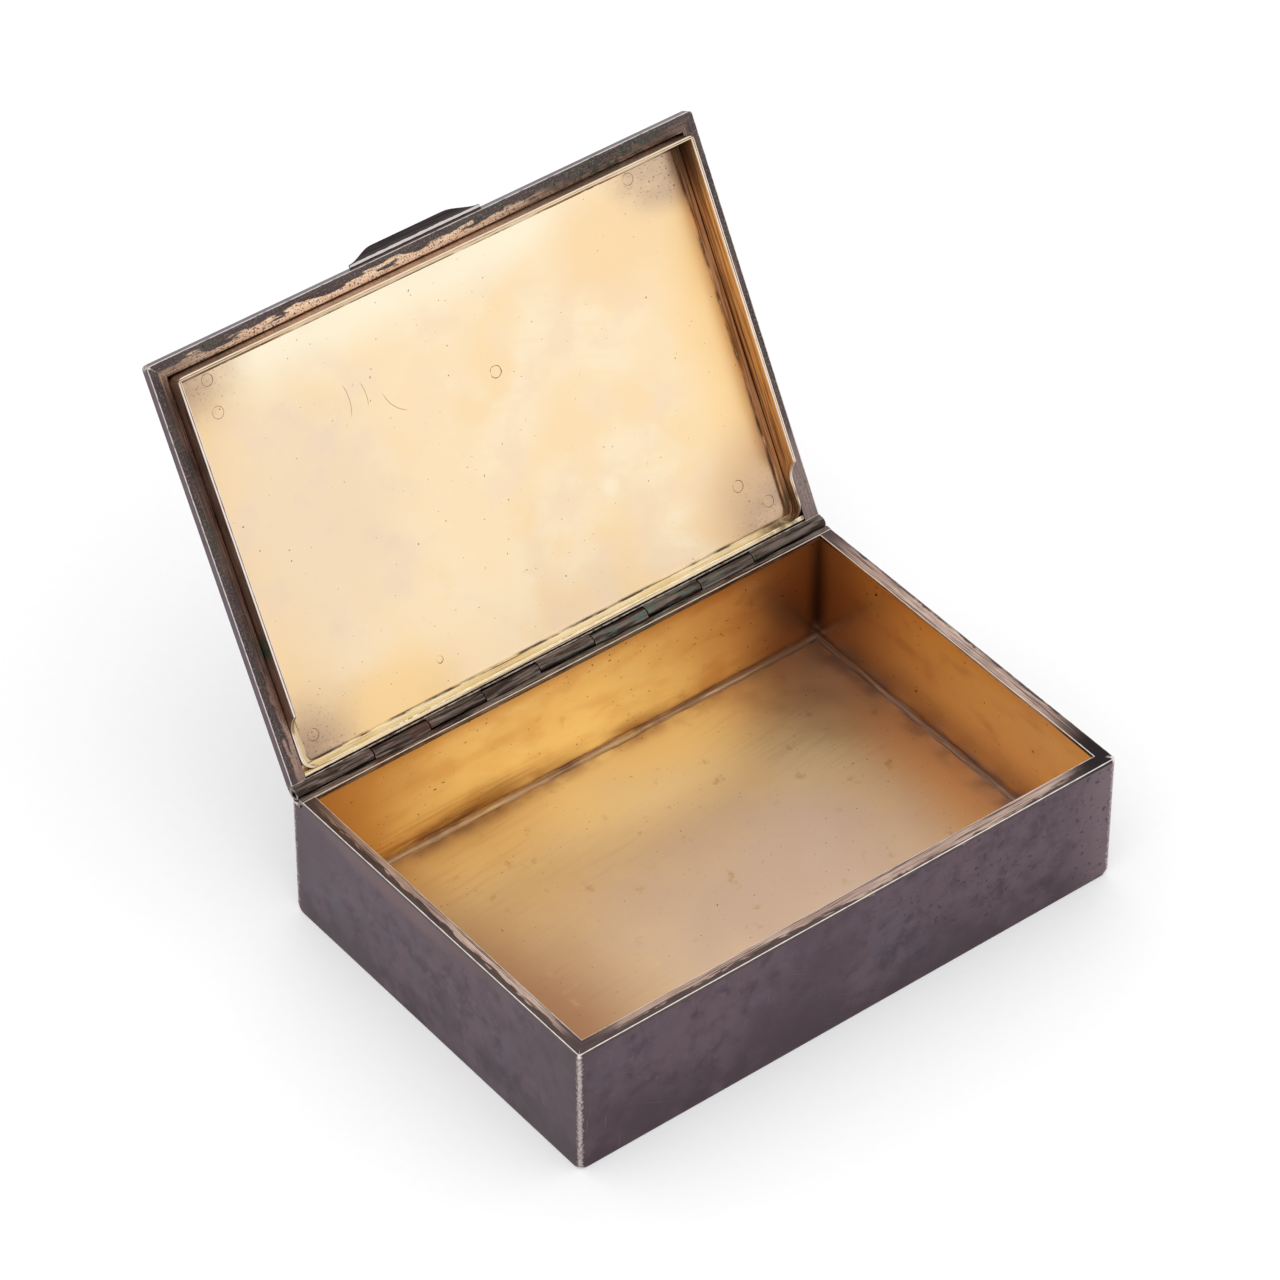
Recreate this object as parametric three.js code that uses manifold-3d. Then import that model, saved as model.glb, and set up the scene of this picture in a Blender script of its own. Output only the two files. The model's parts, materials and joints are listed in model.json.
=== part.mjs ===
// A silver cigar box with a gilt inside and a hinged lid, standing open at the lid's stop.
// Units are millimetres. X runs along the hinge, the front is -Y, the back is +Y and Z is up.
// The origin is the centre of the underside.
import * as THREE from "three";
import { ConvexGeometry } from "three/addons/geometries/ConvexGeometry.js";
import { mergeVertices } from "three/addons/utils/BufferGeometryUtils.js";
import Module from "manifold-3d";

const wasm = await Module();
wasm.setup();

// Case
const boxLength = 160;
const boxWidth = 109.9;
const partingHeight = 37.5; // the hinge axis and the meeting plane of lid and case above the table
const floorThickness = 1.1;
const wallThickness = 1.3;
const solderSeam = 0.3; // room left for solder between pieces that are joined for good
const filletLeg = 1.2; // leg of the solder fillet round the floor

// Flat wire round the mouth of the case
const rimWidth = 3.6;
const rimThickness = 1.1;
const backRimWidth = 4.3;
const backRimDepth = 2.8; // the back wire is an angle: deep over the wall, thin where it overhangs
const backRimDeepWidth = 3.1;

// Hinge
const hingeInset = 0.8; // axis in front of the back face
const knuckleRadius = 1.5;
const grooveClearance = 0.3;
const pinRadius = 0.7;
const boreClearance = 0.09; // radial running clearance
const knuckleCount = 9; // by turns on the lid and on the case, with the two end ones on the lid
const knucklePitch = 16.4;
const knuckleGap = 0.3;
const pinRecess = 0.6; // pin end below the face of the end knuckle

// Lid
const lidStop = 118.7; // degrees open
const partingGap = 0.2; // left between lid and case when the lid is shut
const lidSetback = 0.35; // lid's front edge behind the case's front face
const lidFrameHeight = 2.4;
const lidFrameWidth = 4.2;
const lidBackReach = 2.2; // back frame's inner edge in front of the hinge axis
const plateThickness = 0.9;
const plateInset = 0.5;
const plateEdgeRadius = 0.6;

// Bezel: an upright strip on a foot, which drops inside the mouth of the case
const bezelDepth = 4.4; // below the meeting plane
const bezelThickness = 0.85;
const footWidth = 2.25;
const footThickness = 0.35;
const bezelStepFront = 18.5; // where the side strips start to drop, in front of the hinge axis
const bezelStepBack = 13;
const bezelLowDepth = 0.3;
const backBezelThickness = 1.2;
const backFootWidth = 1.1;
const backBezelLift = 0.15; // above the lid frame's seat

// Thumbpiece
const thumbLength = 38;
const thumbOffset = 2.6; // its middle, left of the middle of the lid
const thumbLip = 1; // how far its lower edge stands out
const thumbReach = 2.7; // how far its swollen middle stands out
const thumbEdge = 0.6; // height at its ends
const thumbHeight = 3;
const thumbEndLength = 8.5; // of each hollow end

// Rivets closed flush in the lid plate
const rivetRadius = 1.5;
const smallRivetRadius = 0.9;
const leftRivetInset = 15.1; // in from the lid's left end
const rightRivetInset = 21.4; // in from the lid's right end
const frontRivetInset = 9.6; // in from the lid's front edge
const rivetPairPitch = 8.2;
const cornerRivetInset = 11.2; // in from the lid's end, near the hinge
const cornerRivetReach = 10.1; // from the hinge axis
const cornerRivetPitch = 7; // from a corner rivet to the next, both ways
const middleRivetOffset = 7.9; // right of the middle of the lid
const middleRivetReach = 70.4;
const smallRivetOffset = 30.8; // left of the middle of the lid
const smallRivetReach = 12.4;

// Facets
const arcSegments = 6; // in a groove or a curve
const roundSegments = 12; // in half a turn
const plateEdgeSegments = 3;
const thumbSegments = 30;
const mergeTolerance = 1e-4;

const halfLength = boxLength / 2;
const halfWidth = boxWidth / 2;
const halfGap = partingGap / 2;
const rimTop = partingHeight - halfGap;
const hingeY = halfWidth - hingeInset;
const grooveRadius = knuckleRadius + grooveClearance;
const mitreRelief = solderSeam * Math.SQRT1_2;
const lidReach = boxWidth - hingeInset - lidSetback; // hinge axis to the lid's front edge
const frameTop = halfGap + lidFrameHeight;
const quarterTurn = Math.PI / 2;

function metal(color, roughness, metalness) {
  return new THREE.MeshStandardMaterial({ color, roughness, metalness });
}

const tarnishedSilver = metal(0x5f5560, 0.45, 0.9);
const wornSilver = metal(0x8d7f78, 0.4, 0.95);
const gilding = metal(0xd9a55a, 0.35, 0.95);
const paleGilding = metal(0xf2dcb0, 0.35, 0.9);
const solder = metal(0x94796a, 0.5, 0.8);

const box = new THREE.Group();
const lid = new THREE.Group();
lid.position.set(0, hingeY, partingHeight);
lid.rotation.x = -THREE.MathUtils.degToRad(lidStop);

// Adds one named piece to the case or to the lid, turned about Z and set at a point.
function addPiece(group, name, geometry, material, place = [0, 0, 0], turn = 0) {
  const mesh = new THREE.Mesh(geometry, material.clone());
  mesh.name = name;
  mesh.position.set(...place);
  mesh.rotation.z = turn;
  group.add(mesh);
}

// A bar along X from one end to the other. Its section is drawn as inward and up from its outer edge.
// A mitre of 1 cuts an end back at 45 degrees, and 0 leaves it square.
function bar(section, start, end, startMitre, endMitre) {
  const shape = { depth: 1, bevelEnabled: false, curveSegments: arcSegments };
  const geometry = new THREE.ExtrudeGeometry(section, shape);
  const points = geometry.getAttribute("position");
  for (let i = 0; i < points.count; i++) {
    const inward = points.getX(i);
    const cut = inward + mitreRelief;
    const along = points.getZ(i) === 0 ? start + startMitre * cut : end - endMitre * cut;
    points.setXYZ(i, along, inward, points.getY(i));
  }
  return geometry;
}

function rectangle(left, low, right, high) {
  const corners = [[left, low], [right, low], [right, high], [left, high]];
  return new THREE.Shape(corners.map(([x, y]) => new THREE.Vector2(x, y)));
}

// A block between any two opposite corners.
function block(corner, opposite) {
  const size = corner.map((value, i) => Math.abs(opposite[i] - value));
  const middle = corner.map((value, i) => (opposite[i] + value) / 2);
  return new THREE.BoxGeometry(...size).translate(...middle);
}

// A closed geometry as a solid that can be joined and cut.
function solidOf(geometry) {
  const plain = new THREE.BufferGeometry();
  plain.setAttribute("position", geometry.getAttribute("position"));
  plain.setIndex(geometry.index);
  const merged = mergeVertices(plain, mergeTolerance);
  const vertProperties = new Float32Array(merged.getAttribute("position").array);
  const triVerts = new Uint32Array(merged.index.array);
  return new wasm.Manifold(new wasm.Mesh({ numProp: 3, vertProperties, triVerts }));
}

function geometryOf(solid) {
  const mesh = solid.getMesh();
  const geometry = new THREE.BufferGeometry();
  geometry.setAttribute("position", new THREE.BufferAttribute(mesh.vertProperties, 3));
  geometry.setIndex(new THREE.BufferAttribute(mesh.triVerts, 1));
  geometry.computeVertexNormals();
  return geometry;
}

// Floor: one sheet under the walls, flush with their outer faces
const floorSheet = block([-halfLength, -halfWidth, 0], [halfLength, halfWidth, floorThickness]);
addPiece(box, "floor_plate", floorSheet, gilding);

// Walls: four strips mitred at the corners. The side walls are notched for the deep back wire.
const wallFoot = floorThickness + solderSeam;
const wallTop = rimTop - rimThickness - solderSeam;
const backWallTop = rimTop - backRimDepth - solderSeam;
const wallSection = rectangle(0, wallFoot, wallThickness, wallTop);
const backWallSection = rectangle(0, wallFoot, wallThickness, backWallTop);

function sideWall(backEnd) {
  const wall = solidOf(bar(wallSection, -halfWidth, halfWidth, 1, 1));
  const notchStart = backEnd * (halfWidth - backRimDeepWidth - solderSeam);
  const notchCorner = [notchStart, -wallThickness, backWallTop];
  const notch = block(notchCorner, [backEnd * boxWidth, 2 * wallThickness, partingHeight]);
  return geometryOf(wall.subtract(solidOf(notch)));
}

const frontWall = bar(wallSection, -halfLength, halfLength, 1, 1);
const backWall = bar(backWallSection, -halfLength, halfLength, 1, 1);
addPiece(box, "front_wall", frontWall, tarnishedSilver, [0, -halfWidth, 0]);
addPiece(box, "back_wall", backWall, tarnishedSilver, [0, halfWidth, 0], Math.PI);
addPiece(box, "left_wall", sideWall(-1), tarnishedSilver, [-halfLength, 0, 0], -quarterTurn);
addPiece(box, "right_wall", sideWall(1), tarnishedSilver, [halfLength, 0, 0], quarterTurn);

// Solder fillets in the four corners between floor and walls
const filletStart = wallThickness + solderSeam;
const filletSection = new THREE.Shape([
  new THREE.Vector2(filletStart, wallFoot),
  new THREE.Vector2(filletStart + filletLeg, wallFoot),
  new THREE.Vector2(filletStart, wallFoot + filletLeg),
]);
const longFillet = bar(filletSection, -halfLength, halfLength, 1, 1);
const shortFillet = bar(filletSection, -halfWidth, halfWidth, 1, 1);
addPiece(box, "front_floor_solder", longFillet, solder, [0, -halfWidth, 0]);
addPiece(box, "back_floor_solder", longFillet, solder, [0, halfWidth, 0], Math.PI);
addPiece(box, "left_floor_solder", shortFillet, solder, [-halfLength, 0, 0], -quarterTurn);
addPiece(box, "right_floor_solder", shortFillet, solder, [halfLength, 0, 0], quarterTurn);

// Rim: flat wire on the walls, mitred at the front corners and butted on the back wire
const rimUnder = rimTop - rimThickness;
const rimSection = rectangle(0, rimUnder, rimWidth, rimTop);
const sideRimBack = halfWidth - backRimWidth - solderSeam;
const frontRim = bar(rimSection, -halfLength, halfLength, 1, 1);
const leftRim = bar(rimSection, -sideRimBack, halfWidth, 0, 1);
const rightRim = bar(rimSection, -halfWidth, sideRimBack, 1, 0);
addPiece(box, "front_rim", frontRim, wornSilver, [0, -halfWidth, 0]);
addPiece(box, "left_rim", leftRim, wornSilver, [-halfLength, 0, 0], -quarterTurn);
addPiece(box, "right_rim", rightRim, wornSilver, [halfLength, 0, 0], quarterTurn);

// Back wire: an angle with a half-round groove along its back edge, in which the hinge lies
const grooveRise = Math.sqrt(grooveRadius ** 2 - hingeInset ** 2);
const grooveRun = Math.sqrt(grooveRadius ** 2 - halfGap ** 2);
const grooveFrontAngle = Math.atan2(halfGap, grooveRun);
const grooveBackAngle = Math.atan2(grooveRise, -hingeInset);
const backRimSection = new THREE.Shape();
backRimSection.moveTo(backRimWidth, rimTop);
backRimSection.lineTo(hingeInset + grooveRun, rimTop);
backRimSection.absarc(hingeInset, partingHeight, grooveRadius, -grooveFrontAngle, -grooveBackAngle, true);
backRimSection.lineTo(0, rimTop - backRimDepth);
backRimSection.lineTo(backRimDeepWidth, rimTop - backRimDepth);
backRimSection.lineTo(backRimDeepWidth, rimUnder);
backRimSection.lineTo(backRimWidth, rimUnder);
const backRim = bar(backRimSection, -halfLength, halfLength, 0, 0);
addPiece(box, "back_rim", backRim, wornSilver, [0, halfWidth, 0], Math.PI);

// Hinge: tubes in a row, soldered by turns to the lid and to the case, on one pin.
// The two end tubes run out to the ends of the lid.
function knuckle(length) {
  const ring = new THREE.Shape().absarc(0, 0, knuckleRadius, 0, 2 * Math.PI);
  ring.holes.push(new THREE.Path().absarc(0, 0, pinRadius + boreClearance, 0, 2 * Math.PI, true));
  const shape = { depth: length, bevelEnabled: false, curveSegments: roundSegments };
  return new THREE.ExtrudeGeometry(ring, shape).rotateY(quarterTurn);
}

const innerKnuckles = knuckleCount - 2;
for (let i = 0; i < knuckleCount; i++) {
  const onLid = i % 2 === 0;
  const edge = (i - 1 - innerKnuckles / 2) * knucklePitch;
  const start = i === 0 ? -halfLength : edge + knuckleGap / 2;
  const end = i === knuckleCount - 1 ? halfLength : edge + knucklePitch - knuckleGap / 2;
  const place = onLid ? [start, 0, 0] : [start, hingeY, partingHeight];
  addPiece(onLid ? lid : box, `hinge_knuckle_${i + 1}`, knuckle(end - start), wornSilver, place);
}

const pinLength = boxLength - 2 * pinRecess;
const pin = new THREE.CylinderGeometry(pinRadius, pinRadius, pinLength, 2 * roundSegments);
addPiece(lid, "hinge_pin", pin.rotateZ(quarterTurn), wornSilver);

// The lid is drawn shut, from the hinge axis: its front edge is at -lidReach and its seat just above zero.

// Lid frame: bars under the edge of the lid plate. The back bar is grooved for the hinge.
const lidFrameSection = rectangle(0, halfGap, lidFrameWidth, frameTop);
const sideFrameBack = lidBackReach + solderSeam;
const frontFrame = bar(lidFrameSection, -halfLength, halfLength, 1, 1);
const leftFrame = bar(lidFrameSection, sideFrameBack, lidReach, 0, 1);
const rightFrame = bar(lidFrameSection, -lidReach, -sideFrameBack, 1, 0);
addPiece(lid, "lid_front_frame", frontFrame, tarnishedSilver, [0, -lidReach, 0]);
addPiece(lid, "lid_left_frame", leftFrame, tarnishedSilver, [-halfLength, 0, 0], -quarterTurn);
addPiece(lid, "lid_right_frame", rightFrame, tarnishedSilver, [halfLength, 0, 0], quarterTurn);

const backFrameSection = new THREE.Shape();
backFrameSection.moveTo(0, frameTop);
backFrameSection.lineTo(0, grooveRise);
backFrameSection.absarc(hingeInset, 0, grooveRadius, grooveBackAngle, grooveFrontAngle, true);
backFrameSection.lineTo(hingeInset + lidBackReach, halfGap);
backFrameSection.lineTo(hingeInset + lidBackReach, frameTop);
const backFrame = bar(backFrameSection, -halfLength, halfLength, 0, 0);
addPiece(lid, "lid_back_frame", backFrame, tarnishedSilver, [0, hingeInset, 0], Math.PI);

// Bezel: strips inside the frame, each with a foot soldered to the lid plate
const bezelHalf = halfLength - lidFrameWidth - solderSeam;
const bezelFront = lidReach - lidFrameWidth - solderSeam;
const backBezelStart = lidBackReach + solderSeam;
const footUnder = frameTop - footThickness;

function angleSection(thickness, low, foot) {
  const section = new THREE.Shape();
  section.moveTo(0, low);
  section.lineTo(thickness, low);
  section.lineTo(thickness, footUnder);
  section.lineTo(thickness + foot, footUnder);
  section.lineTo(thickness + foot, frameTop);
  section.lineTo(0, frameTop);
  return section;
}

const frontBezelSection = angleSection(bezelThickness, -bezelDepth, footWidth);
const frontBezel = bar(frontBezelSection, -bezelHalf, bezelHalf, 0, 0);
addPiece(lid, "lid_front_bezel", frontBezel, gilding, [0, -bezelFront, 0]);

const backBezelSection = angleSection(backBezelThickness, halfGap + backBezelLift, backFootWidth);
const backBezel = bar(backBezelSection, -bezelHalf, bezelHalf, 0, 0);
addPiece(lid, "lid_back_bezel", backBezel, gilding, [0, -backBezelStart, 0], Math.PI);

// A side strip is drawn in profile, with the distance from the hinge axis along its length.
// It drops to a low strip near the hinge in one hollow curve, and steps over the feet that it meets.
function sideBezel(side) {
  const frontEnd = bezelFront - bezelThickness - solderSeam;
  const backEnd = backBezelStart + backBezelThickness + solderSeam;
  const footFront = frontEnd - footWidth;
  const footBack = backEnd + backFootWidth;
  const overFeet = footUnder - solderSeam;
  const profile = new THREE.Shape();
  profile.moveTo(frontEnd, -bezelDepth);
  profile.lineTo(frontEnd, overFeet);
  profile.lineTo(footFront, overFeet);
  profile.lineTo(footFront, frameTop);
  profile.lineTo(footBack, frameTop);
  profile.lineTo(footBack, overFeet);
  profile.lineTo(backEnd, overFeet);
  profile.lineTo(backEnd, -bezelLowDepth);
  profile.lineTo(bezelStepBack, -bezelLowDepth);
  profile.quadraticCurveTo(
    (bezelStepBack + bezelStepFront) / 2, -bezelLowDepth,
    bezelStepFront, -bezelDepth,
  );
  const shape = { depth: bezelThickness, bevelEnabled: false, curveSegments: 2 * arcSegments };
  const strip = new THREE.ExtrudeGeometry(profile, shape).rotateX(quarterTurn).rotateZ(-quarterTurn);
  const outer = side * bezelHalf;
  const inner = outer - side * (bezelThickness + footWidth);
  const foot = block([outer, -footFront, footUnder], [inner, -footBack, frameTop]);
  strip.translate(Math.max(outer, outer - side * bezelThickness), 0, 0);
  return geometryOf(solidOf(strip).add(solidOf(foot)));
}

addPiece(lid, "lid_left_bezel", sideBezel(-1), gilding);
addPiece(lid, "lid_right_bezel", sideBezel(1), gilding);

// Lid plate: a sheet on the frame, set in a little from its edge, with the upper edge rounded over.
// Rivets that once held ornaments fill its holes, cut off flush on both faces.
const plateUnder = frameTop + solderSeam;
const plateTop = plateUnder + plateThickness;
const frontRivetReach = lidReach - frontRivetInset;
const rivets = [
  ["front_left_rivet", -halfLength + leftRivetInset, frontRivetReach, rivetRadius],
  ["inner_left_rivet", -halfLength + leftRivetInset, frontRivetReach - rivetPairPitch, rivetRadius],
  ["front_right_rivet", halfLength - rightRivetInset, frontRivetReach, rivetRadius],
  ["back_left_rivet", -halfLength + cornerRivetInset, cornerRivetReach, rivetRadius],
  ["back_right_rivet", halfLength - cornerRivetInset, cornerRivetReach, rivetRadius],
  [
    "inner_right_rivet", halfLength - cornerRivetInset - cornerRivetPitch,
    cornerRivetReach + cornerRivetPitch, rivetRadius,
  ],
  ["middle_rivet", middleRivetOffset, middleRivetReach, rivetRadius],
  ["small_rivet", -smallRivetOffset, smallRivetReach, smallRivetRadius],
];

function plateRing(inset, height) {
  const side = halfLength - plateInset - inset;
  const front = -(lidReach - plateInset - inset);
  const back = hingeInset - plateInset - inset;
  const corners = [[-side, front], [side, front], [side, back], [-side, back]];
  return corners.map(([x, y]) => new THREE.Vector3(x, y, height));
}

function post(radius, low, high) {
  const column = new THREE.CylinderGeometry(radius, radius, high - low, 2 * roundSegments);
  return column.rotateX(quarterTurn).translate(0, 0, (low + high) / 2);
}

const plateCorners = plateRing(0, plateUnder);
for (let i = 0; i <= plateEdgeSegments; i++) {
  const angle = (i / plateEdgeSegments) * quarterTurn;
  const inset = plateEdgeRadius * (1 - Math.cos(angle));
  const drop = plateEdgeRadius * (1 - Math.sin(angle));
  plateCorners.push(...plateRing(inset, plateTop - drop));
}
let plate = solidOf(new ConvexGeometry(plateCorners));
for (const [name, x, reach, radius] of rivets) {
  const hole = post(radius + solderSeam, plateUnder - plateThickness, plateTop + plateThickness);
  plate = plate.subtract(solidOf(hole.translate(x, -reach, 0)));
  addPiece(lid, name, post(radius, plateUnder, plateTop), paleGilding, [x, -reach, 0]);
}
addPiece(lid, "lid_plate", geometryOf(plate), paleGilding);

// Thumbpiece: a lip along the lid's front edge, which swells out and up between two hollow ends
const lipSection = rectangle(0, 0, 1, 1);
const lipShape = { depth: 1, steps: thumbSegments, bevelEnabled: false };
const lip = new THREE.ExtrudeGeometry(lipSection, lipShape);
const lipPoints = lip.getAttribute("position");
for (let i = 0; i < lipPoints.count; i++) {
  const out = lipPoints.getX(i);
  const up = lipPoints.getY(i);
  const along = lipPoints.getZ(i) * thumbLength;
  const fromEnd = Math.min(along, thumbLength - along);
  const swell = THREE.MathUtils.smoothstep(fromEnd, 0, thumbEndLength);
  const reach = thumbLip + up * swell * (thumbReach - thumbLip);
  const height = thumbEdge + swell * (thumbHeight - thumbEdge);
  lipPoints.setXYZ(i, along - thumbLength / 2, out * reach, up * height);
}
addPiece(lid, "thumbpiece", lip, tarnishedSilver, [-thumbOffset, -lidReach - solderSeam, halfGap], Math.PI);

const cigarBox = new THREE.Group();
cigarBox.add(box, lid);

export default cigarBox;
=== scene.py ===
# A silver cigar box with a gilt inside, standing open on a pale studio table.
# Lengths are in millimetres until a mesh is made. The lid's pieces are drawn shut, from the hinge axis.
import json
import math

import bmesh
import bpy
from mathutils import Matrix, Vector, noise
from mathutils.geometry import delaunay_2d_cdt

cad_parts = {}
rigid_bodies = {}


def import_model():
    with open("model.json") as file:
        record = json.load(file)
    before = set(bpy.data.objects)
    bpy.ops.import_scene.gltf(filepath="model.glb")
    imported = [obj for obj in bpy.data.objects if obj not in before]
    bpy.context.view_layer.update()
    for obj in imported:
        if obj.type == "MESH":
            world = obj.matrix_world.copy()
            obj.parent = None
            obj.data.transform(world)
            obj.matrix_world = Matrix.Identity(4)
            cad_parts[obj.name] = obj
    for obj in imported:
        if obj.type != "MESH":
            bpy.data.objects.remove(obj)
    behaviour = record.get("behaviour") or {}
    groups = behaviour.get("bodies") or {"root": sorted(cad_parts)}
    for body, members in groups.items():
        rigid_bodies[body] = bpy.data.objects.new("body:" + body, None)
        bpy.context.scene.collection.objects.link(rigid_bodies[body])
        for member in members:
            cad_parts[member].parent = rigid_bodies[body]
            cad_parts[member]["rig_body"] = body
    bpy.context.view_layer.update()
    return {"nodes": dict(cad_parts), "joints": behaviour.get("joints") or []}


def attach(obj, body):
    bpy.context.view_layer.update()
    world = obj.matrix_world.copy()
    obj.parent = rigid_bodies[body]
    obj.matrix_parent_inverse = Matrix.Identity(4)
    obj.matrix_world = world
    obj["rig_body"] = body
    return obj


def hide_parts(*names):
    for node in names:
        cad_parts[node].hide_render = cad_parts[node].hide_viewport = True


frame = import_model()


# Floor sheet
# One rolled sheet of silver, cut flush with the outer faces of the walls and soldered under them.
# Its inside was gilded and is rubbed pale in the middle. Its lower corners are worn round.
millimetre = 0.001
weld_distance = 0.002
crease_angle = math.radians(38)
at_rest = {"box": Matrix.Identity(4)}


def node_box(name):
    """The lowest and the highest corner of a solid of the frame, with the lid shut."""
    solid = frame["nodes"][name]
    shut = at_rest[solid["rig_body"]].inverted()
    points = [shut @ (vertex.co / millimetre) for vertex in solid.data.vertices]
    low = Vector([min(point[i] for point in points) for i in range(3)])
    high = Vector([max(point[i] for point in points) for i in range(3)])
    return low, high


class Skin:
    """The points and faces of one piece. For the patterns of its finish each point keeps its place on
    the shut box, its place on its own strip (along, inward, up), and how worn an edge it lies on."""

    def __init__(self):
        self.places = []
        self.strips = []
        self.edges = []
        self.faces = []
        self.finishes = []

    def point(self, place, strip=None, edge=0.0):
        self.places.append(Vector(place))
        self.strips.append(Vector(place if strip is None else strip))
        self.edges.append(edge)
        return len(self.places) - 1

    def face(self, corners, finish=0):
        self.faces.append(corners)
        self.finishes.append(finish)

    def band(self, ring, following, finish=0):
        """Faces all the way round between two rings of points."""
        for i in range(len(ring)):
            self.face((ring[i - 1], ring[i], following[i], following[i - 1]), finish)

    def stack(self, rings, finishes=None):
        """Bands between rings in a row and a face over each end, in the finishes of their rings."""
        finishes = finishes or [0] * len(rings)
        for i in range(1, len(rings)):
            self.band(rings[i - 1], rings[i], finishes[i])
        self.face(list(reversed(rings[0])), finishes[0])
        self.face(rings[-1], finishes[-1])


def make_piece(name, skin, finishes, body, slot, *nodes):
    """Makes a piece from its skin, in metres and with the lid open, and lets it stand for its solids."""
    mesh = bpy.data.meshes.new(name)
    mesh.from_pydata([at_rest[body] @ place * millimetre for place in skin.places], [], skin.faces)
    for finish in finishes:
        mesh.materials.append(finish)
    mesh.polygons.foreach_set("material_index", skin.finishes)
    for label, values in (("place", skin.places), ("strip", skin.strips)):
        layer = mesh.attributes.new(label, "FLOAT_VECTOR", "POINT")
        layer.data.foreach_set("vector", [number for value in values for number in value])
    mesh.attributes.new("edge", "FLOAT", "POINT").data.foreach_set("value", skin.edges)
    shell = bmesh.new()
    shell.from_mesh(mesh)
    bmesh.ops.remove_doubles(shell, verts=shell.verts, dist=weld_distance * millimetre)
    bmesh.ops.recalc_face_normals(shell, faces=shell.faces)
    shell.to_mesh(mesh)
    shell.free()
    mesh.shade_smooth()
    mesh.set_sharp_from_angle(angle=crease_angle)
    piece = bpy.data.objects.new(name, mesh)
    bpy.context.scene.collection.objects.link(piece)
    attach(piece, body)
    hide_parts(*nodes)


def linear(colour):
    """An sRGB hex colour as linear red, green and blue, with full alpha."""
    shares = [int(colour[i:i + 2], 16) / 255 for i in (1, 3, 5)]
    return [s / 12.92 if s <= 0.04045 else ((s + 0.055) / 1.055) ** 2.4 for s in shares] + [1.0]


def add(tree, kind, inputs=None, out=0, **settings):
    """Adds one node with its settings, sets or links its inputs, and gives back one of its outputs."""
    node = tree.nodes.new(kind)
    for name, value in settings.items():
        setattr(node, name, value)
    for socket, value in (inputs or {}).items():
        if isinstance(value, bpy.types.NodeSocket):
            tree.links.new(value, node.inputs[socket])
        else:
            node.inputs[socket].default_value = value
    return node.outputs[out]


def start_metal(name):
    """A new metal, and the three things that its patterns are drawn by."""
    metal = bpy.data.materials.new(name)
    metal.use_nodes = True
    tree = metal.node_tree
    tree.nodes["Principled BSDF"].inputs["Metallic"].default_value = 1.0
    place = add(tree, "ShaderNodeAttribute", out="Vector", attribute_name="place")
    strip = add(tree, "ShaderNodeAttribute", out="Vector", attribute_name="strip")
    edge = add(tree, "ShaderNodeAttribute", out="Fac", attribute_name="edge")
    return metal, place, edge, strip


def stain(where, size, low, high, turn=(0.0, 0.0, 0.0), detail=4.0):
    """A cloudy mask of blots of a size in mm, or of one size each way, from 0 below low to 1 above high."""
    tree = where.id_data
    sizes = size if isinstance(size, tuple) else (size, size, size)
    spread = add(tree, "ShaderNodeMapping", {"Vector": where, "Rotation": turn, "Scale": sizes},
                 vector_type="TEXTURE")
    cloud = add(tree, "ShaderNodeTexNoise", {"Vector": spread, "Scale": 1.0, "Detail": detail})
    return add(tree, "ShaderNodeMapRange", {"Value": cloud, "From Min": low, "From Max": high},
               interpolation_type="SMOOTHSTEP")


def near(where, middle, reach, core=0.3):
    """A mask that is 1 about a place, out to a core share of its reach, and falls to 0 at the reach."""
    tree = where.id_data
    offset = add(tree, "ShaderNodeMapping", {"Vector": where, "Location": middle, "Scale": reach},
                 vector_type="TEXTURE")
    distance = add(tree, "ShaderNodeVectorMath", {0: offset}, out="Value", operation="LENGTH")
    return add(tree, "ShaderNodeMapRange", {"Value": distance, "From Min": 1.0, "From Max": core},
               interpolation_type="SMOOTHSTEP")


def slope(where, axis, none, full):
    """A mask that rises from 0 to 1 between two distances along an axis, X, Y or Z."""
    tree = where.id_data
    value = add(tree, "ShaderNodeSeparateXYZ", {0: where}, out=axis)
    return add(tree, "ShaderNodeMapRange", {"Value": value, "From Min": none, "From Max": full},
               interpolation_type="SMOOTHSTEP")


def worn_edge(edge, place, grain, low, high):
    """A ragged mask along the edges, where handling has rubbed the metal bare."""
    tree = edge.id_data
    rag = stain(place, grain, 0.25, 0.75)
    ragged = add(tree, "ShaderNodeMath", {0: rag, 1: edge}, operation="ADD")
    return add(tree, "ShaderNodeMapRange", {"Value": ragged, "From Min": low, "From Max": high})


def finish_metal(metal, ground, coats, dullness, smooth, dull, relief, depth):
    """Lays coats of colour over a ground, each where all of its masks meet. Roughness goes from smooth to
    dull by one mask, and another is a relief of a depth in mm."""
    tree = metal.node_tree
    colour = linear(ground)  # a mix node takes colours at its inputs 6 and 7 and gives one at output 2
    for coat, mask, *others in coats:
        for other in others:
            mask = add(tree, "ShaderNodeMath", {0: mask, 1: other}, operation="MULTIPLY")
        colour = add(tree, "ShaderNodeMix", {0: mask, 6: colour, 7: linear(coat)}, out=2, data_type="RGBA")
    roughness = add(tree, "ShaderNodeMapRange", {"Value": dullness, "To Min": smooth, "To Max": dull})
    bump = add(tree, "ShaderNodeBump", {"Height": relief, "Distance": depth * millimetre})
    shader = tree.nodes["Principled BSDF"]
    for socket, value in (("Base Color", colour), ("Roughness", roughness), ("Normal", bump)):
        tree.links.new(value, shader.inputs[socket])
    return metal


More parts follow.
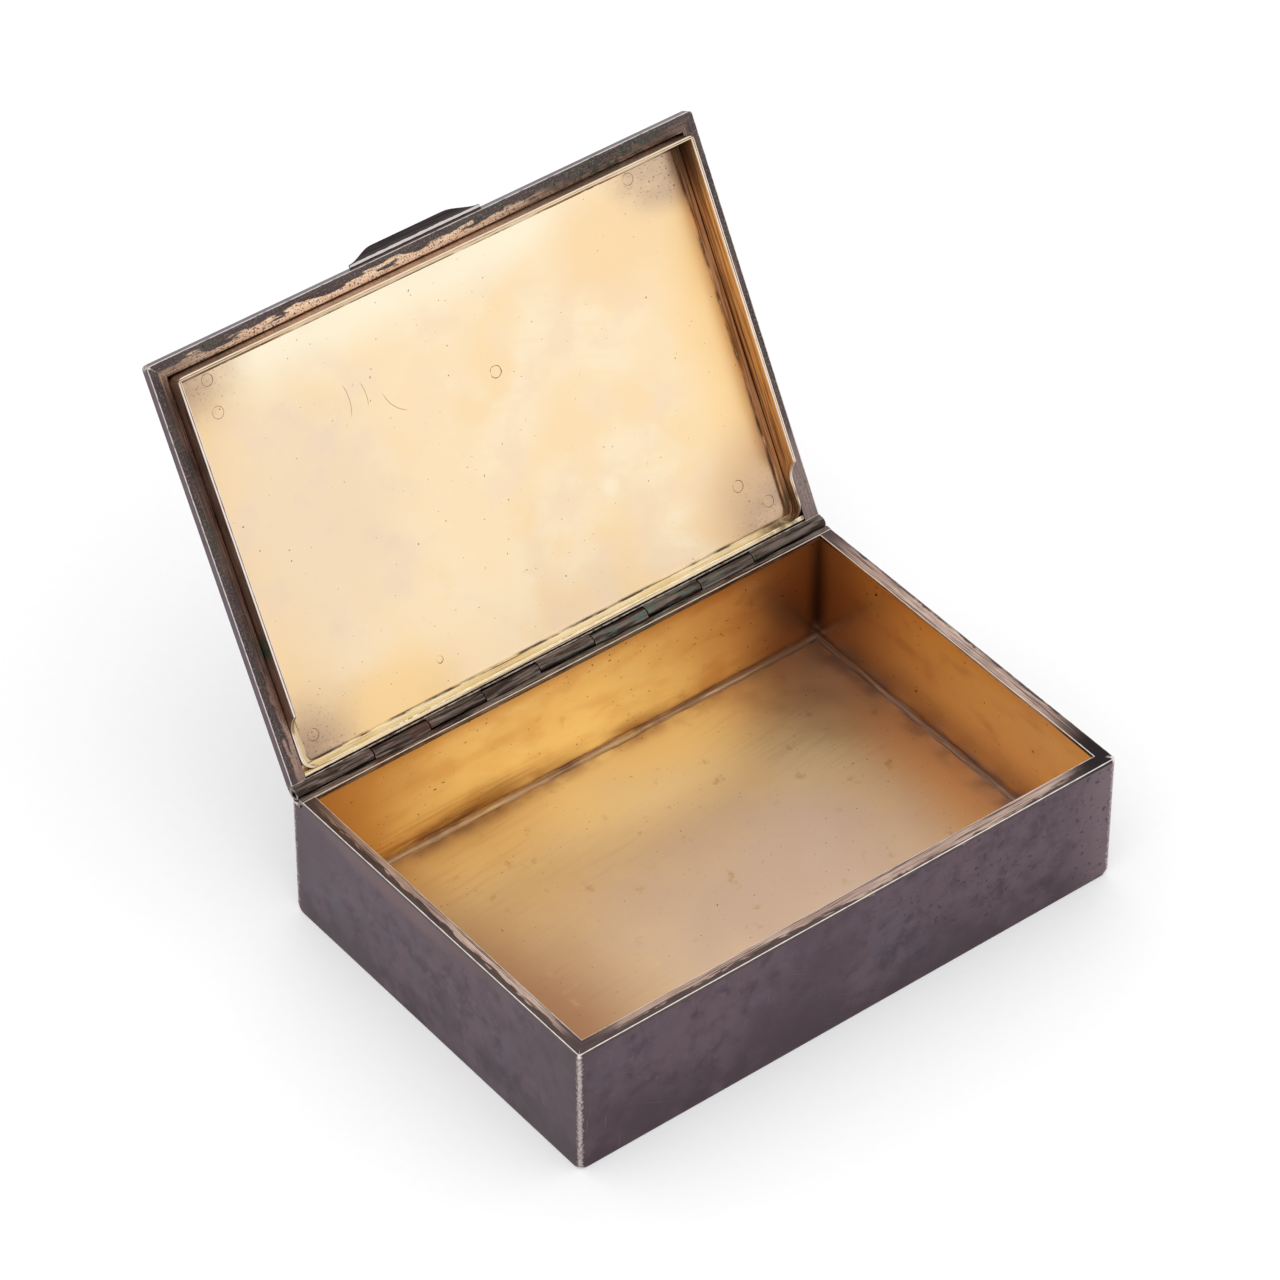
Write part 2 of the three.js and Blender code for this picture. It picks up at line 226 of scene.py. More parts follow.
def make_tarnished_silver(name, shade_below):
    """Silver left unpolished: a gleaming dark sulphide film, purple-brown with bluish clouds and spots,
    heaviest at the left wall's front end, crossed by hair scratches and rubbed bare along the edges,
    with painted shade below a given height. Scratches and stipple are drawn coarser than they are, so
    that they show."""
    metal, place, edge, strip = start_metal(name)
    clouds = stain(place, 36.0, 0.36, 0.64)
    blue_clouds = stain(place, 21.0, 0.48, 0.7)
    patches = stain(place, 40.0, 0.46, 0.64)
    spots = stain(place, 3.6, 0.46, 0.7)
    mottle = stain(place, 6.0, 0.34, 0.68, detail=10.0)
    pits = stain(place, 1.5, 0.58, 0.72, detail=6.0)
    # Painted shade: darker below a height, standing for the table's shadow mirrored low on the walls.
    low_shade = slope(place, "Z", shade_below, shade_below - 20.0)
    right_half = slope(place, "X", -25.0, 30.0)
    right_end = slope(place, "X", 62.0, 80.0)
    left_front = near(place, (-80.0, -55.0, 34.0), (1.5, 20.0, 14.0), core=0.1)
    left_top = near(place, (-80.0, 10.0, 35.5), (1.5, 44.0, 6.0), core=0.4)
    blotches = stain(place, 4.5, 0.4, 0.66, detail=8.0)
    dusty = stain(place, 2.2, 0.52, 0.7, detail=6.0)
    scratches = stain(strip, (0.25, 40.0, 15.0), 0.76, 0.8, turn=(0.0, 0.1, 0.0), detail=1.0)
    long_scratches = stain(strip, (16.0, 40.0, 0.14), 0.72, 0.8, turn=(0.0, 0.5, 0.0), detail=1.0)
    rubbed = worn_edge(edge, place, 0.9, 1.0, 1.7)
    stipple = stain(place, 0.5, 0.46, 0.62, detail=2.0)
    coats = [
        ("#65545c", clouds), ("#5a525f", blue_clouds), ("#514149", blotches), ("#6a5a61", dusty, clouds),
        ("#45383f", patches, spots, right_half), ("#4d3f46", low_shade), ("#726268", right_end),
        ("#705a5d", left_top), ("#4b3e44", left_front), ("#68575f", mottle, clouds),
        ("#4b3d45", pits, right_half), ("#857a7f", scratches), ("#75696f", long_scratches),
        ("#bfb2ad", rubbed), ("#8f8283", rubbed, stipple),
    ]
    return finish_metal(metal, "#56454e", coats, clouds, 0.32, 0.44, spots, 0.006)


def make_floor_gilding():
    """Fire gilding on silver, rubbed thin by what lay on it: warm gold at the sides, greyish tan in the
    middle where the silver shows through, with dark specks and fine strokes, which are drawn coarser than
    they are, so that they show. Painted shade makes it brown towards the back right corner, darker along
    the feet of the right and back walls, and darker along the left and towards the front left."""
    metal, place = start_metal("rubbed_floor_gilding")[:2]
    clouds = stain(place, 30.0, 0.38, 0.66)
    strokes = stain(place, (20.0, 1.5, 30.0), 0.44, 0.72, turn=(0.0, 0.0, 0.08), detail=6.0)
    mottle = stain(place, 9.0, 0.42, 0.66, detail=8.0)
    # Painted shade, ragged, along the feet of the right and back walls.
    right_foot_shade = slope(place, "X", 71.0, 77.5)
    back_foot_shade = slope(place, "Y", 47.5, 52.5)
    dirt_and_shade_rag = stain(place, 8.0, 0.32, 0.68, detail=3.0)
    rubbed = near(place, (14.0, -10.0, 1.0), (74.0, 44.0, 40.0), core=0.2)
    ragged = stain(place, 22.0, 0.28, 0.6)
    # Painted shade: brown towards the back right corner.
    brown = near(place, (72.0, 52.0, 1.0), (36.0, 44.0, 40.0), core=0.05)
    # Painted shade: darker along the left wall and towards the front left.
    left_wall_shade = slope(place, "X", -44.0, -74.0)
    front_left = near(place, (-76.0, -20.0, 1.0), (58.0, 72.0, 40.0))
    right_side = slope(place, "X", 56.0, 74.0)
    back_light = near(place, (8.0, 40.0, 1.0), (46.0, 24.0, 40.0), core=0.2)
    specks = stain(place, 0.8, 0.74, 0.77, detail=2.0)
    smudges = stain(place, 5.0, 0.62, 0.8)
    coats = [
        ("#e8c792", clouds), ("#e6c698", strokes), ("#ddc2a7", rubbed), ("#d9bea7", rubbed, ragged),
        ("#d9ab80", brown), ("#c99876", brown, mottle), ("#fbe2b4", back_light), ("#ac7f60", front_left),
        ("#b68e6c", left_wall_shade), ("#ddb48e", right_side), ("#cba87e", smudges),
        ("#a98a78", right_foot_shade, dirt_and_shade_rag), ("#c8a680", back_foot_shade, dirt_and_shade_rag), ("#5f4029", specks),
    ]
    return finish_metal(metal, "#eed2a3", coats, clouds, 0.42, 0.52, strokes, 0.0015)


# Below this height the case silver darkens with painted shade.
case_shade_height = 20.0
tarnished_silver = make_tarnished_silver("tarnished_case_silver", case_shade_height)
floor_gilding = make_floor_gilding()

case_low, case_high = node_box("floor_plate")
half_length = case_high.x
half_width = case_high.y
floor_top = case_high.z
corner_radius = 0.5
corner_feather = 1.6  # how far the wear of an upright corner reaches
corner_wear = 1.5
worn_centre = 4.0  # a lower corner is worn to a ball, set in this far from the three faces
worn_radius = 5.9
worn_feather = 2.0


def soften(place, low, high, radius):
    """A point drawn in to the round of a box's upright corners, and how worn the corner is there."""
    spot = place.to_2d()
    middle = ((low + high) / 2).to_2d()
    across = Vector([math.copysign(1, spot[i] - middle[i]) for i in range(2)])
    corner = Vector([high[i] if across[i] > 0 else low[i] for i in range(2)])
    centre = corner - across * radius
    outward = (spot - centre) * across
    wear = corner_wear * max(0.0, 1.0 - sum((corner - spot) * across) / corner_feather)
    if min(outward) > 0 and outward.length > radius:
        spot = centre + outward.normalized() * radius * across
    return Vector((spot.x, spot.y, place.z)), wear


def wear_foot(place):
    """A point of the case drawn in to the worn round of the lower corners, and how worn it is there."""
    across = Vector((math.copysign(1, place.x), math.copysign(1, place.y), -1))
    corner = Vector((across.x * half_length, across.y * half_width, 0))
    centre = corner - across * worn_centre
    outward = (place - centre) * across
    if min(outward) <= 0 or outward.length <= worn_radius:
        return place, 0.0
    wear = min(1.0, (outward.length - worn_radius) / worn_feather)
    return centre + outward.normalized() * worn_radius * across, wear


def settle_case(place):
    """A point of the case's outer skin with its corners softened, and its wear."""
    place, upright_wear = soften(place, case_low, case_high, corner_radius)
    place, foot_wear = wear_foot(place)
    return place, max(upright_wear, foot_wear)


end_steps = (0.0, 0.1, 0.22, 0.36, 0.5, 0.9, 1.6, 2.6, 4.0, 6.0)


def marks(start, end, spacing):
    """The places along a strip that get a ring of points: close together towards its ends."""
    count = math.ceil((end - start - 2 * end_steps[-1]) / spacing)
    first = start + end_steps[-1]
    step = (end - start - 2 * end_steps[-1]) / count
    middle = [first + step * i for i in range(1, count)]
    return [start + d for d in end_steps] + middle + [end - d for d in reversed(end_steps)]


def border_of(columns, rows):
    """The places round the outside of a grid, in one ring."""
    border = [(x, rows[0]) for x in columns]
    border += [(columns[-1], y) for y in rows[1:]]
    border += [(x, rows[-1]) for x in reversed(columns[:-1])]
    border += [(columns[0], y) for y in reversed(rows[1:-1])]
    return border


def edge_ring(skin, border, low, high, outset, height, settle, arris=0.0):
    """A ring of points round a sheet: the border of its flat, spread by a distance, at a height."""
    middle = (low + high) / 2
    half = (high - low) / 2
    ring = []
    for x, y in border:
        wide = middle.x + (x - middle.x) * (1 + outset / half.x)
        deep = middle.y + (y - middle.y) * (1 + outset / half.y)
        place, wear = settle(Vector((wide, deep, height)))
        ring.append(skin.point(place, edge=max(wear, arris)))
    return ring


floor_edge_radius = 0.35
floor_ripple = 0.05
floor_ripple_size = 30.0
floor_ripple_margin = 9.0  # the sheet lies flat along its edges
floor_spacing = 5.0
round_steps = 4
quarter_turn = math.pi / 2

floor_skin = Skin()
columns = marks(-half_length, half_length, floor_spacing)
rows = marks(-half_width, half_width, floor_spacing)
floor_points = {}
for y in rows:
    for x in columns:
        freedom = min(1.0, min(half_length - abs(x), half_width - abs(y)) / floor_ripple_margin)
        ripple = floor_ripple * noise.noise(Vector((x, y, 0)) / floor_ripple_size) * freedom
        place, wear = settle_case(Vector((x, y, floor_top)))
        floor_points[x, y] = floor_skin.point(place + Vector((0, 0, ripple)), edge=wear)
for y, next_y in zip(rows, rows[1:]):
    for x, next_x in zip(columns, columns[1:]):
        corners = ((x, y), (next_x, y), (next_x, next_y), (x, next_y))
        floor_skin.face([floor_points[corner] for corner in corners])
floor_border = border_of(columns, rows)
ring = [floor_points[spot] for spot in floor_border]
for i in range(round_steps + 1):
    angle = quarter_turn * i / round_steps
    inset = floor_edge_radius * (1 - math.cos(angle))
    height = floor_edge_radius * (1 - math.sin(angle))
    lower_ring = edge_ring(floor_skin, floor_border, case_low, case_high, -inset, height, settle_case)
    floor_skin.band(ring, lower_ring, 1)
    ring = lower_ring
floor_skin.face(list(reversed(ring)), 1)
make_piece("floor_sheet", floor_skin, [floor_gilding, tarnished_silver], "box", "gilding", "floor_plate")


# Walls
# Four strips of the same sheet, mitred at the corners and soldered into a ring on the floor.
# They are gilded inside and dark with tarnish outside, and the upright corners are rubbed bright.
def make_wall_gilding():
    """Fire gilding that nothing has rubbed: deep yellow gold, darker above the floor, with soft slanting
    streaks from wiping, brown dirt along its foot and a few dark specks. It has painted shade in the back
    corners, most in the back right one, on the right wall and under the rim."""
    metal, place, _, strip = start_metal("wall_gilding")
    clouds = stain(place, 26.0, 0.36, 0.66)
    streaks = stain(strip, (26.0, 40.0, 3.5), 0.42, 0.7, turn=(0.0, -0.45, 0.0))
    # Darker above the floor, in clouds.
    near_floor = slope(place, "Z", 10.0, 1.0)
    cloud_rag = stain(place, (26.0, 26.0, 8.0), 0.4, 0.62)
    smear = near(place, (-32.0, 54.0, 2.0), (26.0, 6.0, 12.0), core=0.1)
    specks = stain(place, 0.9, 0.73, 0.76, detail=2.0)
    smudges = stain(place, 7.0, 0.64, 0.82)
    # Painted shade in the back right corner, deepest on the back wall.
    corner = near(place, (79.0, 54.0, 10.0), (30.0, 54.0, 70.0), core=0.05)
    # Painted shade in the back left corner.
    left_corner_shade = near(place, (-79.0, 54.0, 20.0), (52.0, 34.0, 60.0), core=0.15)
    corner_line = near(place, (79.0, 54.0, 10.0), (5.0, 6.0, 50.0), core=0.0)
    # Painted shade: the right wall is darker, the more so low down.
    right_side = slope(place, "X", 76.0, 78.0)
    right_low = slope(place, "Z", 17.0, 3.0)
    # Painted shadow under the rim.
    under_rim_shadow = slope(place, "Z", 28.0, 34.0)
    smears = stain(strip, (17.0, 40.0, 8.0), 0.42, 0.7, detail=3.0)
    foot = slope(place, "Z", 7.0, 2.4)
    foot_rag = stain(strip, (9.0, 9.0, 2.2), 0.36, 0.6, detail=8.0)
    left_half = slope(place, "X", 6.0, -34.0)
    foot_lines = stain(strip, (34.0, 40.0, 0.8), 0.46, 0.62, detail=5.0)
    low_wall = slope(place, "Z", 12.0, 4.0)
    on_back = slope(place, "Y", 52.0, 53.2)
    mark_groups = stain(place, 13.0, 0.56, 0.62)
    dark_marks = stain(place, (1.8, 1.8, 1.0), 0.66, 0.7, detail=4.0)
    coats = [
        ("#fedc96", clouds), ("#ffe8b2", streaks, clouds), ("#dfb679", right_side), ("#f3cb8a", smears),
        ("#cda06b", right_side, smears), ("#b48d68", right_side, right_low),
        ("#cfa066", near_floor, cloud_rag), ("#d3a769", smear), ("#b98f58", smear, cloud_rag),
        ("#bb8b4e", low_wall, left_half, foot_lines), ("#8c6845", foot, left_half, foot_rag),
        ("#dfb67c", smudges), ("#d9a868", under_rim_shadow), ("#cf9c5a", left_corner_shade), ("#ab876a", corner),
        ("#987658", corner, on_back), ("#664d3b", corner_line), ("#aa9a96", foot, right_side, foot_rag),
        ("#5d3a1e", specks), ("#5a3a20", mark_groups, dark_marks),
    ]
    return finish_metal(metal, "#ffe2a2", coats, clouds, 0.28, 0.38, streaks, 0.003)


wall_gilding = make_wall_gilding()

wall_low, wall_high = node_box("front_wall")
wall_thickness = wall_high.y - wall_low.y
rim_low, rim_high = node_box("front_rim")
rim_under = rim_low.z
rim_top = rim_high.z
back_wire_low, back_wire_high = node_box("back_rim")
back_wire_under = back_wire_low.z
back_wire_deep = 3.1  # how far its deep part reaches in from the back face


def sides_of(low, high):
    """The four sides of a box, each as the setting of a strip that runs along X with its inside at +Y."""
    return {
        "front": Matrix.Translation((0, low.y, 0)),
        "back": Matrix.Translation((0, high.y, 0)) @ Matrix.Rotation(math.pi, 4, "Z"),
        "left": Matrix.Translation((low.x, 0, 0)) @ Matrix.Rotation(-quarter_turn, 4, "Z"),
        "right": Matrix.Translation((high.x, 0, 0)) @ Matrix.Rotation(quarter_turn, 4, "Z"),
    }


case_sides = sides_of(case_low, case_high)


def sweep(section, places, mitres, side, settle, finish_of=None, bend=None):
    """A strip with one section (inward, up, edge) along its length, set on a side of the box.
    A mitre of 1 cuts an end back at 45 degrees and 0 leaves it square. Bend can move each point."""
    skin = Skin()
    rings = []
    for along in places:
        ring = []
        for inward, up, edge in section:
            first = places[0] + mitres[0] * inward
            last = places[-1] - mitres[1] * inward
            spot = Vector((min(max(along, first), last), inward, up))
            place, wear = settle(side @ (bend(spot) if bend else spot))
            ring.append(skin.point(place, spot, max(edge, wear)))
        rings.append(ring)
    for ring, following in zip(rings, rings[1:]):
        for i in range(len(section)):
            j = (i + 1) % len(section)
            middle = [(section[i][k] + section[j][k]) / 2 for k in range(2)]
            finish = finish_of(*middle) if finish_of else 0
            skin.face((ring[i], ring[j], following[j], following[i]), finish)
    skin.face(list(reversed(rings[0])))
    skin.face(rings[-1])
    return skin


def wall_finish(inward, up):
    """Silver outside and gilding inside."""
    return 1 if inward > wall_thickness / 2 else 0


foot_steps = (0.0, 0.5, 1.1, 1.9, 2.9, 5.0)
wall_spacing = 8.0
hair = 0.01


def wall_section(top):
    """A wall's section, with points close together at its foot for the worn corners."""
    outer = [(0.0, floor_top + step, 0.0) for step in foot_steps]
    return outer + [(0.0, top, 0.0), (wall_thickness, top, 0.0), (wall_thickness, floor_top, 0.0)]


def notched(back_end):
    """How a side wall's top is cut down at its back end, -1 or 1 along it, for the deep back wire."""
    def notch(spot):
        under_wire = spot.x * back_end > half_width - back_wire_deep
        return Vector((spot.x, spot.y, min(spot.z, back_wire_under) if under_wire else spot.z))
    return notch


long_marks = marks(-half_length, half_length, wall_spacing)
short_marks = marks(-half_width, half_width, wall_spacing)
notch_marks = [half_width - back_wire_deep, half_width - back_wire_deep + hair]
walls = (
    ("front", rim_under, long_marks, None),
    ("back", back_wire_under, long_marks, None),
    ("left", rim_under, sorted(short_marks + [-mark for mark in notch_marks]), notched(-1)),
    ("right", rim_under, sorted(short_marks + notch_marks), notched(1)),
)
wall_finishes = [tarnished_silver, wall_gilding]
for side, top, places, notch in walls:
    wall_skin = sweep(wall_section(top), places, (1, 1), case_sides[side], settle_case, wall_finish, notch)
    make_piece(f"{side}_wall_sheet", wall_skin, wall_finishes, "box", "tarnished_silver", f"{side}_wall")


# Solder beads
# Hard solder drawn along the inside of the floor joint, where it set in a hollow, uneven fillet.
# It never took the gilding well: a soft tan line, darker on the right, with dirt at its edges.
def make_solder():
    """Silver solder as it flowed: a soft tan close to the floor's, with thin darker lines along it and,
    here and there, brown flux and dirt at its edges."""
    metal, place, edge, strip = start_metal("hard_solder")
    clouds = stain(place, 5.0, 0.36, 0.64)
    gold = stain(place, 16.0, 0.48, 0.62)
    lines = stain(strip, (14.0, 0.35, 0.35), 0.5, 0.66)
    dirt = worn_edge(edge, place, 2.2, 1.35, 1.75)
    burnt = stain(place, 11.0, 0.48, 0.7, detail=8.0)
    ridge = stain(strip, (18.0, 0.3, 0.3), 0.56, 0.66)
    dim_corner = near(place, (79.0, 54.0, 2.0), (60.0, 60.0, 40.0), core=0.1)
    on_right = slope(place, "X", 74.0, 76.5)
    crust = stain(strip, (10.0, 0.4, 0.4), 0.36, 0.6, detail=6.0)
    coats = [
        ("#c6a47e", clouds), ("#cfa873", gold), ("#96724f", lines), ("#8a6650", burnt),
        ("#92735c", dim_corner), ("#c6a888", ridge), ("#a08270", on_right), ("#7c6154", on_right, crust),
        ("#83614a", dirt),
    ]
    return finish_metal(metal, "#b8946c", coats, clouds, 0.42, 0.6, clouds, 0.05)


solder = make_solder()

bead_high = node_box("front_floor_solder")[1]
bead_leg = bead_high.y + half_width - wall_thickness
bead_height = bead_high.z - floor_top
bead_hollow = 0.42  # depth of the hollow as a share of the leg
bead_wander = 0.3  # share by which the bead swells and shrinks
bead_wave = 6.0
bead_width_wave = 50.0
bead_seed = 7.3
bead_spacing = 1.8
bead_steps = 5
bead_dirt = 1.0


def settle_inside(place):
    """A point that nothing has worn."""
    return place, 0.0


def bead_point(share):
    """A point of the bead's hollow face, from the floor at 0 to the wall at 1."""
    dip = 2 * bead_hollow * share * (1 - share)
    inward = wall_thickness + bead_leg * max(0.0, 1 - share - dip)
    up = floor_top + bead_height * max(0.0, share - dip)
    return inward, up, bead_dirt if share in (0, 1) else 0.0


def uneven(spot):
    """The bead swells and shrinks along its length."""
    wave = Vector((spot.x / bead_wave, spot.y / bead_width_wave, bead_seed))
    swell = 1 + bead_wander * noise.noise(wave)
    return Vector((spot.x, wall_thickness + (spot.y - wall_thickness) * swell,
                   floor_top + (spot.z - floor_top) * swell))


bead_section = [(wall_thickness, floor_top, 0.0)]
bead_section += [bead_point(i / bead_steps) for i in range(bead_steps + 1)]
bead_halves = {"front": half_length, "back": half_length, "left": half_width, "right": half_width}
for side, half in bead_halves.items():
    bead_marks = marks(-half, half, bead_spacing)
    bead_skin = sweep(bead_section, bead_marks, (1, 1), case_sides[side], settle_inside, None, uneven)
    make_piece(f"{side}_solder_bead", bead_skin, [solder], "box", "solder", f"{side}_floor_solder")


# Rim wire
# Flat drawn wire soldered on top of the walls, mitred at the front corners, filed level by hand.
# It overhangs the inside a little. Its upper arrises are rubbed white and its inner half worn to a tan.
def make_worn_silver():
    """Drawn silver wire, tarnished dark along its outer half and near the corners, most at the front right
    one, and rubbed by the lid along its inner half: a tan and salmon glow with a ragged border and bright
    arrises. Its file strokes are drawn coarser than they are, so that they show."""
    metal, place, edge, strip = start_metal("worn_silver_wire")
    tree = metal.node_tree
    clouds = stain(place, 18.0, 0.38, 0.64)
    grain = stain(strip, (5.0, 0.22, 0.4), 0.4, 0.66)
    lines = stain(strip, (12.0, 0.2, 0.4), 0.5, 0.64)
    rag = stain(strip, (4.0, 0.9, 3.0), 0.3, 0.7, detail=8.0)
    inward = add(tree, "ShaderNodeSeparateXYZ", {0: strip}, out="Y")
    on_right = slope(place, "X", half_length - 8, half_length - 4)
    on_front = near(place, (26.0, -half_width, rim_top), (44.0, 8.0, 8.0), core=0.5)
    wide_rub = add(tree, "ShaderNodeMath", {0: on_right, 1: on_front}, operation="MAXIMUM")
    widened = add(tree, "ShaderNodeMath", {0: inward, 1: wide_rub}, operation="ADD")
    ragged_inward = add(tree, "ShaderNodeMath", {0: widened, 1: rag}, operation="ADD")
    rubbed = add(tree, "ShaderNodeMapRange", {"Value": ragged_inward, "From Min": 1.9, "From Max": 2.4})
    x_and_y = add(tree, "ShaderNodeVectorMath", {0: place}, operation="ABSOLUTE")
    from_end = slope(x_and_y, "X", half_length - 4, half_length - 24)
    from_front = slope(x_and_y, "Y", half_width - 4, half_width - 22)
    far_from_corner = add(tree, "ShaderNodeMath", {0: from_end, 1: from_front}, operation="MAXIMUM")
    black_corner = near(place, (half_length, -half_width, rim_top), (17.0, 25.0, 8.0), core=0.3)
    bright = worn_edge(edge, place, 2.5, 1.0, 1.5)
    coats = [
        ("#544746", clouds), ("#62534f", grain), ("#b79c90", rubbed, far_from_corner),
        ("#cdb5a6", rubbed, far_from_corner, clouds), ("#a68a7c", rubbed, far_from_corner, grain),
        ("#594a48", lines), ("#2b2426", black_corner), ("#e4dcd6", bright),
    ]
    return finish_metal(metal, "#473b3e", coats, grain, 0.3, 0.42, grain, 0.008)


worn_silver = make_worn_silver()

rim_width = rim_high.y - rim_low.y
rim_radius = 0.12
rim_outer_wear = 1.35
rim_inner_wear = 1.5
slight_wear = 0.2  # of an arris that nothing rubs
rim_wander = 0.09
rim_wave = 15.0
rim_seed = 3.1
rim_spacing = 4.0
edge_feather = 0.12


def rounded(corners):
    """A section with its corners (inward, up, radius, wear) rounded, and points where the wear ends."""
    section = []
    for i, (inward, up, radius, wear) in enumerate(corners):
        if radius == 0:
            section.append((inward, up, wear))
            continue
        corner = Vector((inward, up))
        before = Vector(corners[i - 1][:2]) - corner
        after = Vector(corners[(i + 1) % len(corners)][:2]) - corner
        enter = corner + before.normalized() * radius
        leave = corner + after.normalized() * radius
        if before.length > 2 * (radius + edge_feather):
            outer = enter + before.normalized() * edge_feather
            section.append((outer.x, outer.y, 0.0))
        for k in range(round_steps + 1):
            share = k / round_steps
            point = enter * (1 - share) ** 2 + corner * 2 * share * (1 - share) + leave * share ** 2
            section.append((point.x, point.y, wear))
        if after.length > 2 * (radius + edge_feather):
            outer = leave + after.normalized() * edge_feather
            section.append((outer.x, outer.y, 0.0))
    return section


def filed(spot):
    """The rim's inner edge wanders a little, as the file left it."""
    drift = rim_wander * noise.noise(Vector((spot.x / rim_wave, rim_seed, 0)))
    return Vector((spot.x, spot.y + drift * spot.y / rim_width, spot.z))


rim_section = rounded([
    (0.0, rim_under, 0, 0.0), (0.0, rim_top, rim_radius, rim_outer_wear),
    (rim_width, rim_top, rim_radius, rim_inner_wear), (rim_width, rim_under, rim_radius, slight_wear),
])
back_wire_width = back_wire_high.y - back_wire_low.y
side_rim_back = half_width - back_wire_width
rims = (
    ("front", -half_length, half_length, (1, 1)),
    ("left", -side_rim_back, half_width, (0, 1)),
    ("right", -half_width, side_rim_back, (1, 0)),
)
for side, start, end, mitres in rims:
    rim_marks = marks(start, end, rim_spacing)
    rim_skin = sweep(rim_section, rim_marks, mitres, case_sides[side], settle_case, None, filed)
    make_piece(f"{side}_rim_wire", rim_skin, [worn_silver], "box", "worn_silver", f"{side}_rim")


# Back wire
# A heavier angle of silver along the back, with a half-round groove in which the hinge tubes lie.
# The strip that shows in front of the hinge is rubbed, with green corrosion in places.
lid_hinge = frame["joints"][0]
hinge = Vector(lid_hinge["pos_m"]) / millimetre
hinge_inset = half_width - hinge.y
groove_radius = 1.8
groove_steps = 12
back_wire_radius = 0.15
back_wire_wear = 1.4


def make_hinge_silver(name, ground, worn, rubbed, bare):
    """Drawn silver tube, dark with tarnish, rubbed grey in lengthwise streaks, with brown dirt in
    lengthwise lines and a bloom of green copper corrosion towards the right."""
    metal, place, edge = start_metal(name)[:3]
    clouds = stain(place, 9.0, 0.38, 0.62)
    grain = stain(place, (7.0, 0.3, 0.3), 0.42, 0.66)
    dirt = stain(place, (9.0, 0.8, 0.8), 0.46, 0.62)
    bloom = stain(place, (4.0, 1.2, 1.2), 0.48, 0.7, detail=8.0)
    green_middle = near(place, (22.0, 0.0, 0.0), (34.0, 500.0, 500.0))
    green_end = near(place, (60.0, 0.0, 0.0), (20.0, 500.0, 500.0))
    reddish = near(place, (-49.0, 0.0, 0.0), (11.0, 500.0, 500.0), core=0.7)
    bright = worn_edge(edge, place, 1.6, 1.0, 1.5)
    coats = [
        (worn, clouds), (rubbed, grain), ("#3a2f2c", dirt), ("#5c4038", reddish, clouds),
        ("#566a60", green_middle, bloom), ("#4f6158", green_end, bloom), (bare, bright),
    ]
    return finish_metal(metal, ground, coats, grain, 0.32, 0.46, grain, 0.02)


hinge_silver = make_hinge_silver("hinge_tube_silver", "#53463f", "#675a53", "#82756e", "#a89d96")
back_wire_silver = make_hinge_silver("back_wire_silver", "#63564f", "#7a6d67", "#9d9089", "#d6ccc3")

front_run = math.sqrt(groove_radius ** 2 - (hinge.z - rim_top) ** 2)
back_drop = math.sqrt(groove_radius ** 2 - hinge_inset ** 2)
front_angle = math.atan2(hinge.z - rim_top, front_run)
back_angle = math.pi - math.atan2(back_drop, hinge_inset)


def groove(rise, axis_height):
    """The groove's points from front to back, below the hinge axis (rise -1) or above it (1)."""
    points = []
    for i in range(1, groove_steps):
        angle = front_angle + (back_angle - front_angle) * i / groove_steps
        inward = hinge_inset + groove_radius * math.cos(angle)
        points.append((inward, axis_height + rise * groove_radius * math.sin(angle), 0.0))
    return points


back_wire_section = rounded([
    (0.0, hinge.z - back_drop, 0, 0.0), (0.0, back_wire_under, 0, 0.0),
    (back_wire_deep, back_wire_under, 0, 0.0), (back_wire_deep, rim_under, 0, 0.0),
    (back_wire_width, rim_under, back_wire_radius, slight_wear),
    (back_wire_width, rim_top, back_wire_radius, back_wire_wear),
    (hinge_inset + front_run, rim_top, 0, 0.0),
])
back_wire_section += groove(-1, hinge.z)
back_wire_marks = marks(-half_length, half_length, rim_spacing)
back_wire_skin = sweep(back_wire_section, back_wire_marks, (0, 0), case_sides["back"], settle_case)
make_piece("back_hinge_wire", back_wire_skin, [back_wire_silver], "box", "worn_silver", "back_rim")


# Hinge tubes and pin
# Nine lengths of drawn tube in a row, soldered by turns to the lid and to the case, with one wire pin
# through them all. Each tube sits in a web of solder in its own groove and runs free in the other.
lid_angle = math.radians(lid_hinge["range_deg"][1])
at_rest["lid"] = Matrix.Translation(hinge) @ Matrix.Rotation(-lid_angle, 4, "X")
tube_low, tube_high = node_box("hinge_knuckle_2")
tube_radius = (tube_high.z - tube_low.z) / 2
pin_low, pin_high = node_box("hinge_pin")
pin_radius = (pin_high.z - pin_low.z) / 2
pin_clearance = 0.09
bore_radius = pin_radius + pin_clearance
web_bite = 0.04  # the web runs this far into the wall of its groove, so that no gap shows
web_radius = groove_radius + web_bite
web_taper = math.radians(16)
tube_chamfer = 0.12
tube_end_wear = 1.0
tube_sides = 48
tube_count = 9
tube_spacing = 4.0
tube_turns = [2 * math.pi * i / tube_sides for i in range(tube_sides)]


def smooth_step(value):
    """Eases a value from 0 to 1."""
    value = min(max(value, 0.0), 1.0)
    return value * value * (3 - 2 * value)


def web_share(angle):
    """How full the groove is at an angle from the front, on the tube's own side of the hinge."""
    into = smooth_step((angle - front_angle + web_taper) / web_taper)
    out = smooth_step((back_angle + web_taper - angle) / web_taper)
    return into * out


def tube_ring(skin, x, centre, rise, shrink, bore=False):
    """One ring of a tube: its round outside with the web of solder, or its bore."""
    ring = []
    for turn in tube_turns:
        angle = turn - quarter_turn
        outside = tube_radius + (web_radius - tube_radius) * web_share(angle) - shrink
        radius = bore_radius if bore else outside
        place = centre + Vector((x, -radius * math.cos(angle), rise * radius * math.sin(angle)))
        ring.append(skin.point(place, edge=tube_end_wear if shrink > 0 else 0.0))
    return ring


